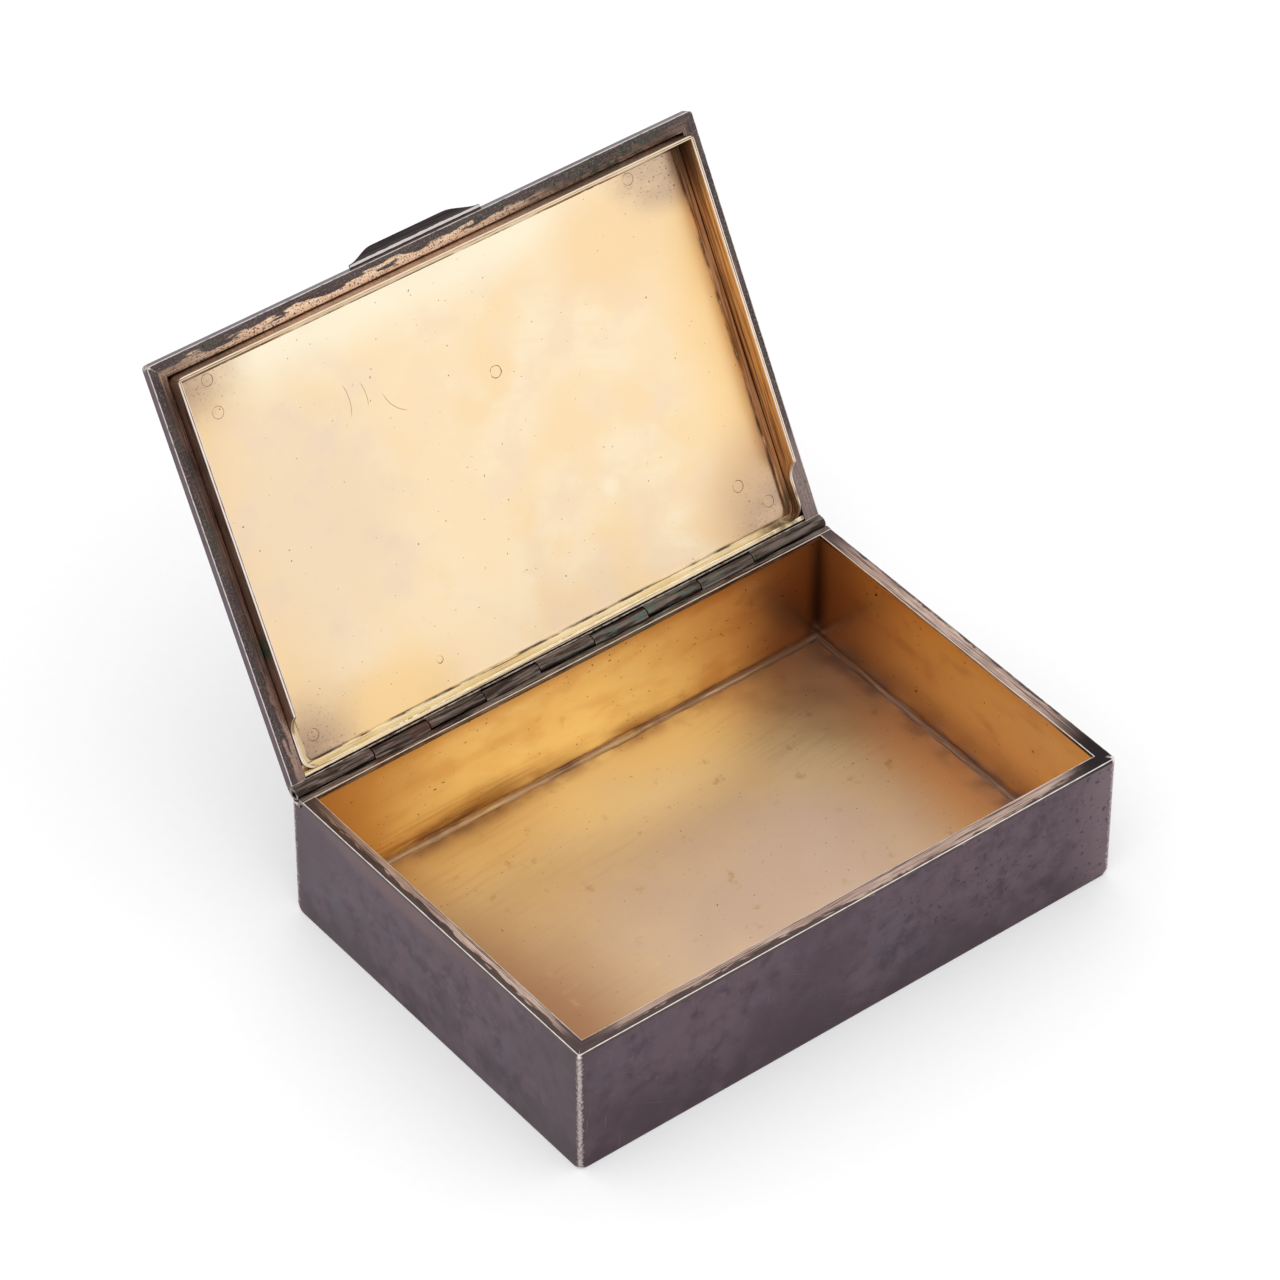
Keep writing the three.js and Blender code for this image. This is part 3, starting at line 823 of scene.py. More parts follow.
for number in range(1, tube_count + 1):
    on_lid = number % 2 == 1
    rise = 1 if on_lid else -1
    centre = Vector((0, 0, 0)) if on_lid else Vector((0, hinge.y, hinge.z))
    low, high = node_box(f"hinge_knuckle_{number}")
    length = high.x - low.x - 2 * tube_chamfer
    count = math.ceil((high.x - low.x) / tube_spacing)
    stations = [(low.x, tube_chamfer)]
    stations += [(low.x + tube_chamfer + length * i / count, 0.0) for i in range(count + 1)]
    stations += [(high.x, tube_chamfer)]
    tube_skin = Skin()
    rings = [tube_ring(tube_skin, x, centre, rise, shrink) for x, shrink in stations]
    rings += [tube_ring(tube_skin, x, centre, rise, 0.0, bore=True) for x in (high.x, low.x)]
    for i, ring in enumerate(rings):
        tube_skin.band(rings[i - 1], ring)
    tube_body = "lid" if on_lid else "box"
    make_piece(f"hinge_tube_{number}", tube_skin, [hinge_silver], tube_body, "worn_silver",
               f"hinge_knuckle_{number}")

pin_dome = 0.2
pin_end = ((0.0, 0.3), (pin_dome / 2, 0.8), (pin_dome, 1.0))  # distance from the end, share of the radius
pin_stations = [(pin_low.x + distance, share) for distance, share in pin_end]
pin_stations += [(pin_high.x - distance, share) for distance, share in reversed(pin_end)]
pin_skin = Skin()
pin_rings = []
for x, share in pin_stations:
    radius = share * pin_radius
    places = [Vector((x, radius * math.cos(turn), radius * math.sin(turn))) for turn in tube_turns]
    pin_rings.append([pin_skin.point(place) for place in places])
pin_skin.stack(pin_rings)
make_piece("hinge_wire_pin", pin_skin, [hinge_silver], "lid", "worn_silver", "hinge_pin")


# Lid frame
# Four bars of silver that carry the lid plate: their lower face closes on the rim, and the back one
# is grooved for the hinge. Outside they are tarnished; the seat is worn tan beside the bezel.
def make_lid_seat():
    """The seat of the lid frame: dark outside, olive and brown streaks along it, and a salmon patch with a
    torn border where closing has rubbed the tarnish off, with a white line on the arris. On the thumb lip
    it is near black, with tarnish and painted shadow. Its grit and grain are drawn coarser than they are,
    so that they show."""
    metal, place, edge, strip = start_metal("lid_seat_silver")
    tree = metal.node_tree
    clouds = stain(place, 20.0, 0.38, 0.62)
    grain = stain(strip, (8.0, 0.25, 0.4), 0.4, 0.64)
    olive = stain(place, (26.0, 26.0, 5.0), 0.5, 0.64)
    rag = stain(strip, (11.0, 2.2, 3.0), 0.3, 0.7, detail=6.0)
    inward = add(tree, "ShaderNodeSeparateXYZ", {0: strip}, out="Y")
    rag_width = 2.2  # how far the torn border wanders
    wide_rag = add(tree, "ShaderNodeMath", {0: rag, 1: rag_width, 2: inward}, operation="MULTIPLY_ADD")
    rubbed = add(tree, "ShaderNodeMapRange", {"Value": wide_rag, "From Min": 3.2, "From Max": 3.5})
    front_middle = near(place, (-22.0, -106.0, 0.0), (66.0, 16.0, 40.0))
    by_hinge = near(place, (-78.0, -14.0, 0.0), (20.0, 22.0, 40.0))
    right_by_hinge = near(place, (78.0, -12.0, 0.0), (10.0, 16.0, 40.0))
    brown = add(tree, "ShaderNodeMapRange", {"Value": wide_rag, "From Min": 3.0, "From Max": 4.4})
    speckle = stain(place, 0.9, 0.6, 0.7, detail=6.0)
    # The thumb lip is near black: tarnish and painted shadow.
    lip = slope(place, "Y", lid_low.y - 0.1, lid_low.y - 0.5)
    green_end = near(place, (52.0, -107.0, 0.0), (26.0, 6.0, 40.0))
    bloom = stain(place, 2.4, 0.4, 0.6, detail=8.0)
    pale = stain(strip, (5.0, 0.5, 0.5), 0.52, 0.68)
    grit = stain(place, 0.5, 0.54, 0.66, detail=2.0)
    bright = worn_edge(edge, place, 2.0, 1.0, 1.5)
    coats = [
        ("#544a4b", clouds), ("#51524a", olive), ("#615450", grain), ("#66514a", brown),
        ("#947868", brown, grain), ("#fbdab9", rubbed, front_middle),
        ("#e6c3a4", rubbed, front_middle, grain), ("#ffeedb", rubbed, front_middle, pale),
        ("#9d7a66", rubbed, front_middle, speckle), ("#a98d80", rubbed, by_hinge),
        ("#93776b", rubbed, by_hinge, grain), ("#7d6c69", right_by_hinge),
        ("#94827d", right_by_hinge, grain), ("#3c3335", speckle, clouds), ("#474b42", green_end, bloom),
        ("#2f302d", green_end, speckle), ("#736763", grit), ("#31292b", lip), ("#453b3c", lip, grain),
        ("#d3cac5", bright),
    ]
    return finish_metal(metal, "#453c3f", coats, grain, 0.3, 0.42, grain, 0.012)


lid_shade_depth = -4.0  # below the lid, so that the lid gets no painted shade and is tarnished alike all over
lid_silver = make_tarnished_silver("tarnished_lid_silver", lid_shade_depth)

lid_low, lid_front_high = node_box("lid_front_frame")
lid_back_low, lid_back_high = node_box("lid_back_frame")
plate_low, plate_high = node_box("lid_plate")
lid_high = Vector((lid_front_high.x, lid_back_high.y, plate_high.z))
lid_reach = -lid_low.y
lid_seat_height = lid_low.z
lid_bar_width = lid_front_high.y - lid_low.y
lid_back_reach = -lid_back_low.y
plate_under = plate_low.z
lid_radius = 0.16
lid_bar_wear = 1.2
lid_back_wear = 1.0
lid_corner_radius = 1.2
lid_spacing = 5.0
lid_sides = sides_of(lid_low, lid_high)
lid_seat = make_lid_seat()


def settle_lid(place):
    """A point of the lid with its corners softened, and its wear."""
    return soften(place, lid_low, lid_high, lid_corner_radius)


def bar_finish(inward, up):
    """The worn seat below and tarnish elsewhere."""
    return 1 if up < lid_seat_height + lid_radius / 2 else 0


lid_bar_section = rounded([
    (0.0, lid_seat_height, lid_radius, lid_bar_wear), (0.0, plate_under, lid_radius, lid_bar_wear),
    (lid_bar_width, plate_under, 0, 0.0), (lid_bar_width, lid_seat_height, lid_radius, slight_wear),
])
lid_bars = (
    ("front", lid_low.x, lid_high.x, (1, 1)),
    ("left", lid_back_reach, lid_reach, (0, 1)),
    ("right", -lid_reach, -lid_back_reach, (1, 0)),
)
for side, start, end, mitres in lid_bars:
    bar_marks = marks(start, end, lid_spacing)
    bar_skin = sweep(lid_bar_section, bar_marks, mitres, lid_sides[side], settle_lid, bar_finish)
    make_piece(f"lid_{side}_bar", bar_skin, [lid_silver, lid_seat], "lid", "tarnished_silver",
               f"lid_{side}_frame")

back_bar_section = rounded([
    (hinge_inset + front_run, lid_seat_height, 0, 0.0),
    (hinge_inset + lid_back_reach, lid_seat_height, lid_radius, lid_back_wear),
    (hinge_inset + lid_back_reach, plate_under, 0, 0.0),
    (0.0, plate_under, lid_radius, lid_bar_wear), (0.0, back_drop, 0, 0.0),
])
back_bar_section += reversed(groove(1, 0.0))
back_bar_marks = marks(lid_low.x, lid_high.x, lid_spacing)
back_bar_skin = sweep(back_bar_section, back_bar_marks, (0, 0), lid_sides["back"], settle_lid)
make_piece("lid_back_bar", back_bar_skin, [hinge_silver], "lid", "tarnished_silver", "lid_back_frame")


# Bezel
# Strips of gilt silver bent to an angle and soldered inside the lid frame: they drop into the mouth of
# the case and keep the lid true. Near the hinge the side strips are cut down so that the lid can swing.
def make_bezel_gilding():
    """Worn gilding on a handled strip: orange brown with dark lengthwise streaks, two dark lines along its
    inner face and a pinkish foot, rubbed to near white along its free edge. At the front its outer face is
    lightened to a pale tan, which is painted light."""
    metal, place, edge, strip = start_metal("bezel_gilding")
    clouds = stain(place, 16.0, 0.38, 0.64)
    streaks = stain(strip, (20.0, 0.5, 0.5), 0.46, 0.62)
    grain = stain(strip, (9.0, 0.25, 0.25), 0.42, 0.64)
    dull = slope(place, "X", -40.0, -74.0)
    front_end = slope(place, "Y", -96.0, -103.0)
    # Painted light: at the front end the outer face is lightened to a pale tan.
    outer_face = slope(strip, "Y", 0.5, 0.2)
    by_hinge = slope(place, "Y", -step_front, -step_back)
    on_left = slope(place, "X", -40.0, -60.0)
    front_corner = near(place, (75.0, -104.0, 0.0), (9.0, 22.0, 9.0), core=0.1)
    green = near(place, (-75.0, -36.0, -1.0), (6.0, 4.5, 9.0))
    dirt_line = slope(strip, "Y", foot_reach - 0.5, foot_reach - 0.1)
    dirt_and_shade_rag = stain(strip, (6.0, 2.0, 2.0), 0.3, 0.6)
    foot = slope(strip, "Z", foot_under - 0.5, foot_under)
    hinge_corner = near(place, (74.0, -6.0, 0.0), (8.0, 10.0, 9.0), core=0.2)
    crease = near(strip, (0.0, bezel_thickness, foot_under), (900.0, 0.3, 0.3), core=0.4)
    seam = near(strip, (0.0, bezel_thickness, seam_height), (900.0, 0.3, 0.16), core=0.4)
    bright = worn_edge(edge, place, 4.0, 1.0, 1.3)
    coats = [
        ("#c69a68", clouds), ("#deb98c", grain), ("#cfa98a", foot), ("#ecd5b4", foot, front_end),
        ("#966a44", streaks), ("#c9a893", outer_face, front_end), ("#8a6a56", dull),
        ("#5c4336", dull, streaks), ("#a5877a", dull, grain), ("#43604f", green, outer_face, dirt_and_shade_rag),
        ("#dcc49c", by_hinge, on_left), ("#4f3524", crease), ("#553926", seam), ("#5a3d29", front_corner),
        ("#5a3d28", dirt_line, dirt_and_shade_rag), ("#f1e6dc", bright), ("#ecdcc0", bright, front_end),
        ("#6a523d", hinge_corner, dirt_and_shade_rag),
    ]
    return finish_metal(metal, "#d8ac76", coats, grain, 0.3, 0.42, grain, 0.015)


def make_back_strip_gilding():
    """The strip beside the hinge keeps its gilding: pale gold with thin dark lines along it and grime at
    its right end."""
    metal, place, edge, strip = start_metal("back_strip_gilding")
    clouds = stain(place, 14.0, 0.4, 0.64)
    lines = stain(strip, (30.0, 0.3, 0.3), 0.56, 0.68)
    dirt_line = slope(strip, "Y", back_strip_width - 0.45, back_strip_width - 0.1)
    dirt_and_shade_rag = stain(strip, (9.0, 2.0, 2.0), 0.42, 0.6)
    right_end = slope(place, "X", 56.0, 73.0)
    grime = stain(place, 3.0, 0.36, 0.6, detail=8.0)
    bright = worn_edge(edge, place, 2.0, 1.0, 1.4)
    coats = [
        ("#f8eaca", clouds), ("#76532f", lines), ("#4d3520", dirt_line, dirt_and_shade_rag), ("#fdf4dc", bright),
        ("#7d654b", right_end, grime),
    ]
    return finish_metal(metal, "#f1deb6", coats, clouds, 0.3, 0.42, lines, 0.01)


front_bezel_low, front_bezel_high = node_box("lid_front_bezel")
back_bezel_low, back_bezel_high = node_box("lid_back_bezel")
bezel_half = front_bezel_high.x
bezel_front = -front_bezel_low.y
bezel_depth = -front_bezel_low.z
bezel_thickness = 0.85
bezel_wear = 1.5
bezel_radius = 0.24
bezel_corner_radius = 1.3
bezel_turn = 3.4  # radius of the bend at the back corners
bezel_spacing = 4.0
inner_wear = 0.75  # wear of the inner arris as a share of the outer one
foot_thickness = 0.65
foot_under = plate_under - foot_thickness
foot_reach = front_bezel_high.y - front_bezel_low.y
foot_radius = 0.12
seam_share = 0.35  # how far down the inner face a dark line runs
seam_height = foot_under - seam_share * (foot_under + bezel_depth)
back_strip_start = -back_bezel_high.y
back_strip_thickness = 1.2
back_strip_width = back_bezel_high.y - back_bezel_low.y
back_strip_low = back_bezel_low.z
back_strip_wear = 0.8
step_front = 18.5  # distances from the hinge between which a side strip is cut down
step_back = 13.0
low_depth = 0.3
bezel_corner_low = Vector((-bezel_half, -bezel_front, 0))
bezel_corner_high = Vector((bezel_half, -back_strip_start, 0))
bezel_sides = sides_of(bezel_corner_low, bezel_corner_high)
side_strip_back = back_strip_start + back_strip_thickness
side_strip_front = bezel_front - bezel_thickness
side_foot_back = back_strip_start + back_strip_width
side_foot_front = bezel_front - foot_reach

bezel_gilding = make_bezel_gilding()
back_strip_gilding = make_back_strip_gilding()


def settle_bezel(place):
    """The bezel's front corners are filed round, and not worn."""
    if place.y <= -side_foot_front:
        place = soften(place, bezel_corner_low, bezel_corner_high, bezel_corner_radius)[0]
    return place, 0.0


def angle_section(thickness, low, reach, wear):
    """An upright strip with a foot along the lid plate."""
    return rounded([
        (0.0, low, bezel_radius, wear), (0.0, plate_under, 0, 0.0), (reach, plate_under, 0, 0.0),
        (reach, foot_under, foot_radius, slight_wear), (thickness, foot_under, 0, 0.0),
        (thickness, low, bezel_radius, wear * inner_wear),
    ])


def bezel_drop(reach):
    """How far a side strip drops below the meeting plane, at a distance from the hinge axis."""
    share = min(max((reach - step_back) / (step_front - step_back), 0.0), 1.0)
    return low_depth + (bezel_depth - low_depth) * share ** 2


def cut_down(spot):
    """A side strip in its real outline: cut down near the hinge, bent in to meet the back strip, and
    stepping over the feet at its ends."""
    reach = abs(spot.x)
    depth_share = (foot_under + bezel_drop(reach)) / (foot_under + bezel_depth)
    up = spot.z if spot.z > foot_under else foot_under - (foot_under - spot.z) * depth_share
    left_to_turn = min(max(1 - (reach - side_strip_back) / bezel_turn, 0.0), 1.0)
    inward = spot.y + bezel_turn * (1 - math.sqrt(1 - left_to_turn ** 2))
    if reach > side_foot_front or reach < side_foot_back:
        return Vector((spot.x, inward - max(0.0, spot.y - bezel_thickness), min(up, foot_under)))
    return Vector((spot.x, inward, up))


strip_section = angle_section(bezel_thickness, -bezel_depth, foot_reach, bezel_wear)
back_strip_section = angle_section(back_strip_thickness, back_strip_low, back_strip_width, back_strip_wear)
strip_marks = marks(-bezel_half, bezel_half, bezel_spacing)
side_marks = marks(side_strip_back, side_strip_front, bezel_spacing)
side_marks += [step_back + (step_front - step_back) * i / groove_steps for i in range(groove_steps + 1)]
side_marks += [side_foot_back - hair, side_foot_back, side_foot_front, side_foot_front + hair]
strips = (
    ("front", strip_section, strip_marks, None, bezel_gilding),
    ("back", back_strip_section, strip_marks, None, back_strip_gilding),
    ("left", strip_section, sorted(side_marks), cut_down, bezel_gilding),
    ("right", strip_section, sorted(-mark for mark in side_marks), cut_down, bezel_gilding),
)
for side, section, places, bend, gilding in strips:
    strip_skin = sweep(section, places, (0, 0), bezel_sides[side], settle_bezel, None, bend)
    make_piece(f"{side}_bezel_strip", strip_skin, [gilding], "lid", "gilding", f"lid_{side}_bezel")


# Lid plate and rivets
# A planished sheet on the frame, gilded inside, its upper edge rounded over. Eight rivets go through it,
# closed and filed flush, and show inside as fine rings of dirt.
scratch_half_width = 0.09  # drawn wider than a hair so that it shows
# Each scratch is an arc: its centre and radius, then the middle and the reach of the stretch that shows.
lid_scratches = (
    ((-14.4, -79.2, 2.8), 8.4, (-20.4, -74.4, 2.8), (4.6, 4.6, 9.0)),
    ((-42.4, -80.3, 2.8), 10.9, (-31.6, -79.9, 2.8), (5.0, 4.6, 9.0)),
    ((-38.1, -79.1, 2.8), 11.2, (-26.9, -79.6, 2.8), (3.0, 3.4, 9.0)),
)


def scratch(where, centre, radius, middle, reach):
    """A hair scratch: the stretch of a circle that lies near a middle point."""
    tree = where.id_data
    distance = add(tree, "ShaderNodeVectorMath", {0: where, 1: centre}, out="Value", operation="DISTANCE")
    line = add(tree, "ShaderNodeMath", {0: distance, 1: radius, 2: scratch_half_width}, operation="COMPARE")
    stretch = near(where, middle, reach, core=0.6)
    return add(tree, "ShaderNodeMath", {0: line, 1: stretch}, operation="MULTIPLY")


def make_lid_gilding():
    """Pale gilding polished thin: cream gold, warmer along the edges, greyish in the corners, with soft
    clouds, a few specks and, round the rivets, broken rings of dirt. The strokes of its polish are drawn
    coarser than they are, so that they show."""
    metal, place, edge = start_metal("pale_lid_gilding")[:3]
    tree = metal.node_tree
    clouds = stain(place, 30.0, 0.36, 0.64)
    warm = stain(place, 19.0, 0.44, 0.68)
    haze = stain(place, 13.0, 0.46, 0.72)
    strokes = stain(place, (16.0, 2.5, 30.0), 0.42, 0.7, turn=(0.0, 0.0, 0.3))
    to_middle = (0.0, lid_reach / 2, 0.0)
    from_middle = add(tree, "ShaderNodeVectorMath", {0: place, 1: to_middle}, operation="ADD")
    far = add(tree, "ShaderNodeVectorMath", {0: from_middle}, operation="ABSOLUTE")
    right_warmth = slope(place, "X", 48.0, 72.0)
    left_pale = slope(place, "X", -48.0, -72.0)
    front_light = slope(place, "Y", -86.0, -100.0)
    front_fade = slope(place, "X", 64.0, 24.0)
    back_warm = near(place, (-46.0, -8.0, 2.8), (28.0, 16.0, 9.0))
    front_warm = near(place, (50.0, -88.0, 2.8), (28.0, 20.0, 9.0))
    back_haze = near(place, (72.0, -12.0, 2.8), (30.0, 26.0, 9.0))
    corner_side = slope(far, "X", 50.0, 76.0)
    corner_end = slope(far, "Y", 30.0, 53.0)
    corner_rag = stain(place, 7.0, 0.25, 0.6)
    front_right = near(place, (73.0, -100.0, 2.8), (25.0, 15.0, 9.0), core=0.1)
    specks = stain(place, 1.0, 0.74, 0.765, detail=2.0)
    corner_specks = stain(place, 0.7, 0.62, 0.68, detail=2.0)
    blot = near(place, (28.0, -32.0, 2.8), (3.8, 3.8, 9.0), core=0.2)
    scratches = [("#c39f72", scratch(place, *arc)) for arc in lid_scratches]
    dirt = worn_edge(edge, place, 1.1, 1.45, 1.7)
    dull_left = near(place, (-50.0, -58.0, 2.8), (36.0, 46.0, 9.0), core=0.2)
    coats = [
        ("#fdeaca", clouds), ("#fbe5c0", strokes, clouds), ("#fbdfb2", warm), ("#f8dfbe", haze),
        ("#fef2d6", front_light, front_fade), ("#fed99e", right_warmth), ("#f6d7a9", left_pale),
        ("#fbd8a0", back_warm), ("#fbdcae", front_warm), ("#e0bc93", back_haze), ("#f3dbba", dull_left),
        ("#ecd6be", dull_left, haze), ("#d3b699", corner_side, corner_end),
        ("#ab8f7c", corner_side, corner_end, corner_rag),
        ("#5d4636", corner_side, corner_end, corner_specks), ("#d6bb9f", front_right),
        ("#c2a892", front_right, corner_rag), ("#745b48", front_right, corner_specks), ("#fdebcb", blot),
        ("#7a5836", specks), ("#6b5238", dirt),
    ] + scratches
    return finish_metal(metal, "#fbe2bb", coats, clouds, 0.28, 0.38, strokes, 0.0003)


lid_gilding = make_lid_gilding()

plate_edge_radius = 0.6
plate_arris_wear = 1.15
plate_spacing = 6.0
plate_ripple = 0.05
plate_ripple_size = 34.0
plate_ripple_margin = 12.0
plate_ripple_seed = 9.0
hole_sides = 28
hole_clearance = 0.045
hole_rings = (0.0, 0.2, 1.1)  # distances from a hole's edge at which the sheet has rings of points
hole_margin = 2.1  # no point of the sheet's grid comes closer to a rivet
middle_ring_wear = 1.35  # the middle rivet's ring is dark all round
ring_wear = 0.95  # the others show only in part
merge_distance = 1e-5
rivet_dome = 0.03
rivet_crown = ((0.35, 1.0), (0.75, 0.6))  # shares of the radius and of the dome's height there
rivet_edge = 0.07
rivet_spots = ("front_left", "inner_left", "front_right", "back_left", "back_right", "inner_right",
               "middle", "small")
rivets = []
for spot in rivet_spots:
    low, high = node_box(f"{spot}_rivet")
    wear = middle_ring_wear if spot == "middle" else ring_wear
    rivets.append((f"{spot}_rivet", ((low + high) / 2).to_2d(), (high.x - low.x) / 2, wear))
flat_low = plate_low + Vector((plate_edge_radius, plate_edge_radius, 0))
flat_high = plate_high - Vector((plate_edge_radius, plate_edge_radius, 0))


def circle(centre, radius):
    """Points round a rivet or its hole."""
    points = []
    for i in range(hole_sides):
        turn = 2 * math.pi * i / hole_sides
        points.append(Vector((centre.x + radius * math.cos(turn), centre.y + radius * math.sin(turn))))
    return points


def clear_of_rivets(point, margin):
    """Whether a point lies further than a margin from the edge of every rivet."""
    return all((point - centre).length > radius + margin for name, centre, radius, wear in rivets)


def sheet_ripple(x, y):
    """How far the planished sheet waves up or down, away from its edges."""
    inset = min(plate_high.x - abs(x), plate_high.y - y, y - plate_low.y)
    wave = noise.noise(Vector((x, y, plate_ripple_seed)) / plate_ripple_size)
    return plate_ripple * wave * smooth_step(inset / plate_ripple_margin)


def settle_plate(place):
    """A point of the plate's edge with its corners softened, and its wear."""
    return soften(place, plate_low, plate_high, lid_corner_radius)


across_plate = marks(flat_low.x, flat_high.x, plate_spacing)
down_plate = marks(flat_low.y, flat_high.y, plate_spacing)
flat_points = []
flat_wear = []
grid_index = {}
for y in down_plate:
    for x in across_plate:
        if clear_of_rivets(Vector((x, y)), hole_margin):
            grid_index[x, y] = len(flat_points)
            flat_points.append(Vector((x, y)))
            flat_wear.append(0.0)
hole_edges = []
for name, centre, radius, wear in rivets:
    hole_edges.append([len(flat_points) + i for i in range(hole_sides)])
    for outset in hole_rings:
        flat_points += circle(centre, radius + hole_clearance + outset)
        flat_wear += [wear if outset == 0 else 0.0] * hole_sides
hole_sections = [(ring[i - 1], ring[i]) for ring in hole_edges for i in range(hole_sides)]
all_triangles = 0  # the kind of net that is asked for
net = delaunay_2d_cdt(flat_points, hole_sections, [], all_triangles, merge_distance)
made_points, _, made_faces, sources = net[:4]
made_index = {source[0]: i for i, source in enumerate(sources)}

plate_skin = Skin()
under_points = []
over_points = []
for point, source in zip(made_points, sources):
    wear = flat_wear[source[0]]
    ripple = sheet_ripple(point.x, point.y)
    under_points.append(plate_skin.point(Vector((point.x, point.y, plate_under + ripple)), edge=wear))
    over_points.append(plate_skin.point(Vector((point.x, point.y, plate_high.z + ripple)), edge=wear))
for corners in made_faces:
    middle = sum((made_points[i] for i in corners), Vector((0, 0))) / len(corners)
    if clear_of_rivets(middle, hole_clearance):
        plate_skin.face([under_points[i] for i in reversed(corners)], 0)
        plate_skin.face([over_points[i] for i in corners], 1)
for hole_edge in hole_edges:
    made_edge = [made_index[i] for i in hole_edge]
    plate_skin.band([under_points[i] for i in made_edge], [over_points[i] for i in made_edge], 0)
plate_border = border_of(across_plate, down_plate)
border_index = [made_index[grid_index[spot]] for spot in plate_border]
ring = [over_points[i] for i in border_index]
for i in range(1, round_steps + 2):
    angle = quarter_turn * (1 - min(i, round_steps) / round_steps)
    outset = plate_edge_radius * math.cos(angle)
    height = plate_under if i > round_steps else plate_high.z - plate_edge_radius * (1 - math.sin(angle))
    arris = plate_arris_wear if i == round_steps // 2 else 0.0
    lower_ring = edge_ring(plate_skin, plate_border, flat_low, flat_high, outset, height, settle_plate,
                           arris)
    plate_skin.band(ring, lower_ring, 1)
    ring = lower_ring
plate_skin.band(ring, [under_points[i] for i in border_index], 0)
make_piece("lid_sheet", plate_skin, [lid_gilding, lid_silver], "lid", "pale_gilding", "lid_plate")

for name, centre, radius, wear in rivets:
    profile = [(share, -rivet_dome * rise) for share, rise in rivet_crown]
    profile += [(1 - rivet_edge / radius, 0.0), (1.0, rivet_edge)]
    stations = [(share, plate_under + drop, 0) for share, drop in profile]
    stations += [(share, plate_high.z - max(drop, 0), 1) for share, drop in reversed(profile)]
    rivet_skin = Skin()
    rings = []
    for share, height, finish in stations:
        edge = wear if share == 1.0 else 0.0
        spots = circle(centre, radius * share)
        rings.append([rivet_skin.point((spot.x, spot.y, height), edge=edge) for spot in spots])
    rivet_skin.stack(rings, [finish for share, height, finish in stations])
    make_piece(f"{name}_head", rivet_skin, [lid_gilding, lid_silver], "lid", "pale_gilding", name)


# Thumbpiece
# A lip of silver soldered along the lid's front edge, filed so that it swells out and up between two
# hollow ends. Its lower arris is rubbed white by thumbs.
thumb_low, thumb_high = node_box("thumbpiece")
thumb_height = thumb_high.z - thumb_low.z
thumb_end_height = 0.6
thumb_end = 8.5
thumb_seam = 0.3  # the solder between the lip and the lid
thumb_seat = lid_low.y - thumb_seam
thumb_reach = thumb_seat - thumb_low.y
thumb_foot = 1.0  # how far its lower edge stands out
thumb_hollow = 1.7
thumb_turn = 0.86  # share of the height at which the hollow face turns into the nose
thumb_nose = 0.45
nose_back = 0.4  # shares of the nose by which its arris is filed back and down
nose_down = 0.1
thumb_arris = 0.16
thumb_arris_lift = 0.02
thumb_line = 3 * thumb_arris  # how far in from the lower edge it is rubbed white
thumb_wear = 2.0
thumb_stations = 44
thumb_steps = 7

thumb_skin = Skin()
thumb_rings = []
for i in range(thumb_stations + 1):
    x = thumb_low.x + (thumb_high.x - thumb_low.x) * i / thumb_stations
    swell = smooth_step(min(x - thumb_low.x, thumb_high.x - x) / thumb_end)
    height = thumb_end_height + swell * (thumb_height - thumb_end_height)
    reach = thumb_foot + swell * (thumb_reach - thumb_foot)
    nose = thumb_nose * swell
    outline = [
        (-thumb_seam, 0.0, 0.0), (thumb_foot - thumb_line - thumb_arris, 0.0, 0.0),
        (thumb_foot - thumb_line, 0.0, thumb_wear),
        (thumb_foot - thumb_arris, thumb_arris_lift, thumb_wear),
    ]
    for k in range(1, thumb_steps + 1):
        share = k / thumb_steps * thumb_turn
        out = thumb_foot + (reach - thumb_foot) * share ** thumb_hollow
        outline.append((out, thumb_arris + (height - thumb_arris) * share, 0.0))
    outline += [
        (reach - nose_back * nose, height - nose_down * nose, 0.0), (reach - nose, height, 0.0),
        (-thumb_seam, height, 0.0),
    ]
    ring = []
    for out, up, edge in outline:
        ring.append(thumb_skin.point((x, thumb_seat - out, thumb_low.z + up), edge=edge))
    thumb_rings.append(ring)
thumb_skin.stack(thumb_rings)
make_piece("thumb_lip", thumb_skin, [lid_seat], "lid", "tarnished_silver", "thumbpiece")


# Studio
# A white paper table under an even white sky, with one large soft lamp above and a long lens from the
# front left, as the box was photographed.
scene = bpy.context.scene
scene.view_settings.view_transform = "Standard"
table_half = 3.0
paper_tooth = 0.0025  # in metres, drawn coarser than paper so that it shows
paper_roughness = 0.9
paper_specular = 0.1
paper_lift = 0.28
table_mesh = bpy.data.meshes.new("studio_table")
table_corners = [(-table_half, -table_half, 0), (table_half, -table_half, 0),
                 (table_half, table_half, 0), (-table_half, table_half, 0)]
table_mesh.from_pydata(table_corners, [], [(0, 1, 2, 3)])
table = bpy.data.objects.new("studio_table", table_mesh)
scene.collection.objects.link(table)


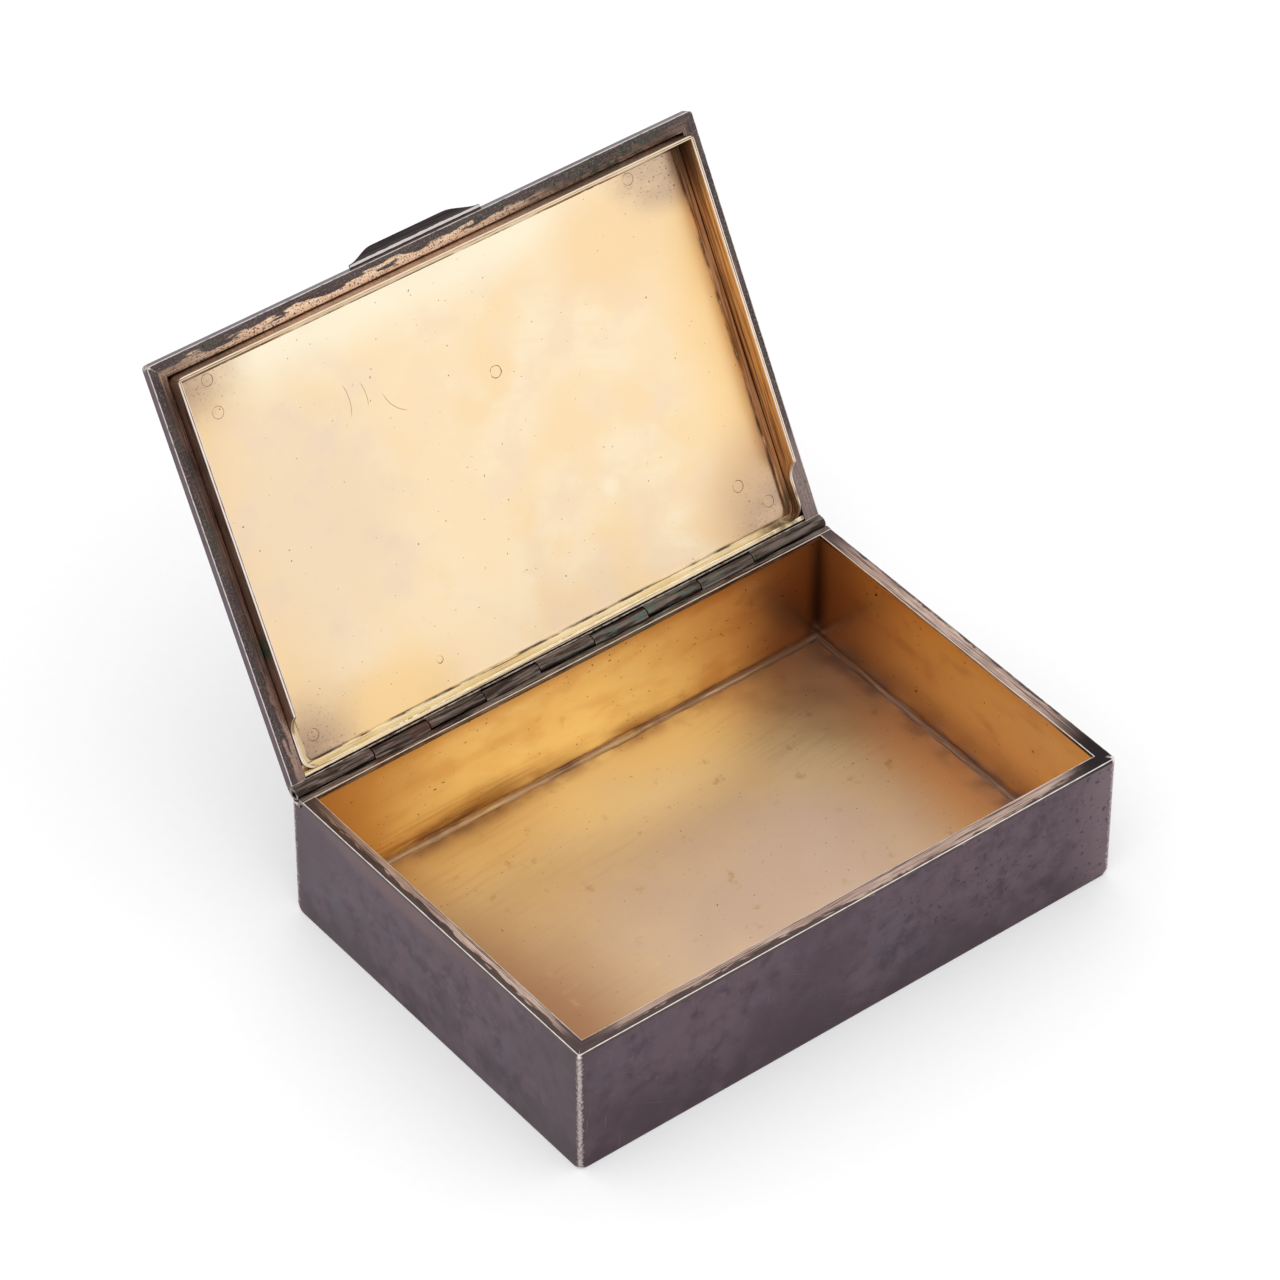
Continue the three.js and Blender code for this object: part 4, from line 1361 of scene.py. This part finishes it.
def make_table_paper():
    """Matt white paper, lifted a little towards white where it is seen or mirrored, so that the shadow
    stays faint."""
    paper = bpy.data.materials.new("background_paper")
    paper.use_nodes = True
    tree = paper.node_tree
    shader = tree.nodes["Principled BSDF"]
    shader.inputs["Roughness"].default_value = paper_roughness
    shader.inputs["Specular IOR Level"].default_value = paper_specular
    shader.inputs["Emission Color"].default_value = linear("#ffffff")
    spot = add(tree, "ShaderNodeTexCoord", out="Object")
    tooth = add(tree, "ShaderNodeTexNoise", {"Vector": spot, "Scale": 1 / paper_tooth, "Detail": 3.0})
    tone = add(tree, "ShaderNodeMix", {0: tooth, 6: linear("#dadada"), 7: linear("#dedede")}, out=2,
               data_type="RGBA")
    seen = add(tree, "ShaderNodeLightPath", out="Is Camera Ray")
    for ray in ("Is Glossy Ray", "Is Transmission Ray"):
        through = add(tree, "ShaderNodeLightPath", out=ray)
        seen = add(tree, "ShaderNodeMath", {0: seen, 1: through}, operation="MAXIMUM")
    lift = add(tree, "ShaderNodeMath", {0: seen, 1: paper_lift}, operation="MULTIPLY")
    tree.links.new(lift, shader.inputs["Emission Strength"])
    tree.links.new(tone, shader.inputs["Base Color"])
    return paper


table_mesh.materials.append(make_table_paper())

sky_strength = 1.03
sky = bpy.data.worlds.new("studio_sky")
scene.world = sky
sky.use_nodes = True
sky_light = sky.node_tree.nodes["Background"]
sky_light.inputs["Color"].default_value = linear("#ffffff")
sky_light.inputs["Strength"].default_value = sky_strength

lamp_place = Vector((-0.3, -0.25, 1.3))
lamp_aim = Vector((0.0, 0.02, 0.05))
lamp_light = bpy.data.lights.new("top_lamp", "AREA")
lamp_light.size = 0.9
lamp_light.energy = 2.0
lamp = bpy.data.objects.new("top_lamp", lamp_light)
lamp.location = lamp_place
lamp.rotation_mode = "QUATERNION"
lamp.rotation_quaternion = (lamp_aim - lamp_place).to_track_quat("-Z", "Y")
scene.collection.objects.link(lamp)

camera_azimuth = math.radians(-38.126)
camera_elevation = math.radians(41.522)
camera_distance = 1.5
camera_aim = Vector((0.0007, 0.0257, 0.0617))
camera_back = Vector((
    math.sin(camera_azimuth) * math.cos(camera_elevation),
    -math.cos(camera_azimuth) * math.cos(camera_elevation),
    math.sin(camera_elevation),
))
camera_data = bpy.data.cameras.new("camera")
camera_data.sensor_width = 36.0
camera_data.lens = 179.49
camera = bpy.data.objects.new("camera", camera_data)
camera.location = camera_aim + camera_back * camera_distance
camera.rotation_euler = (quarter_turn - camera_elevation, 0.0, camera_azimuth)
scene.collection.objects.link(camera)
scene.camera = camera
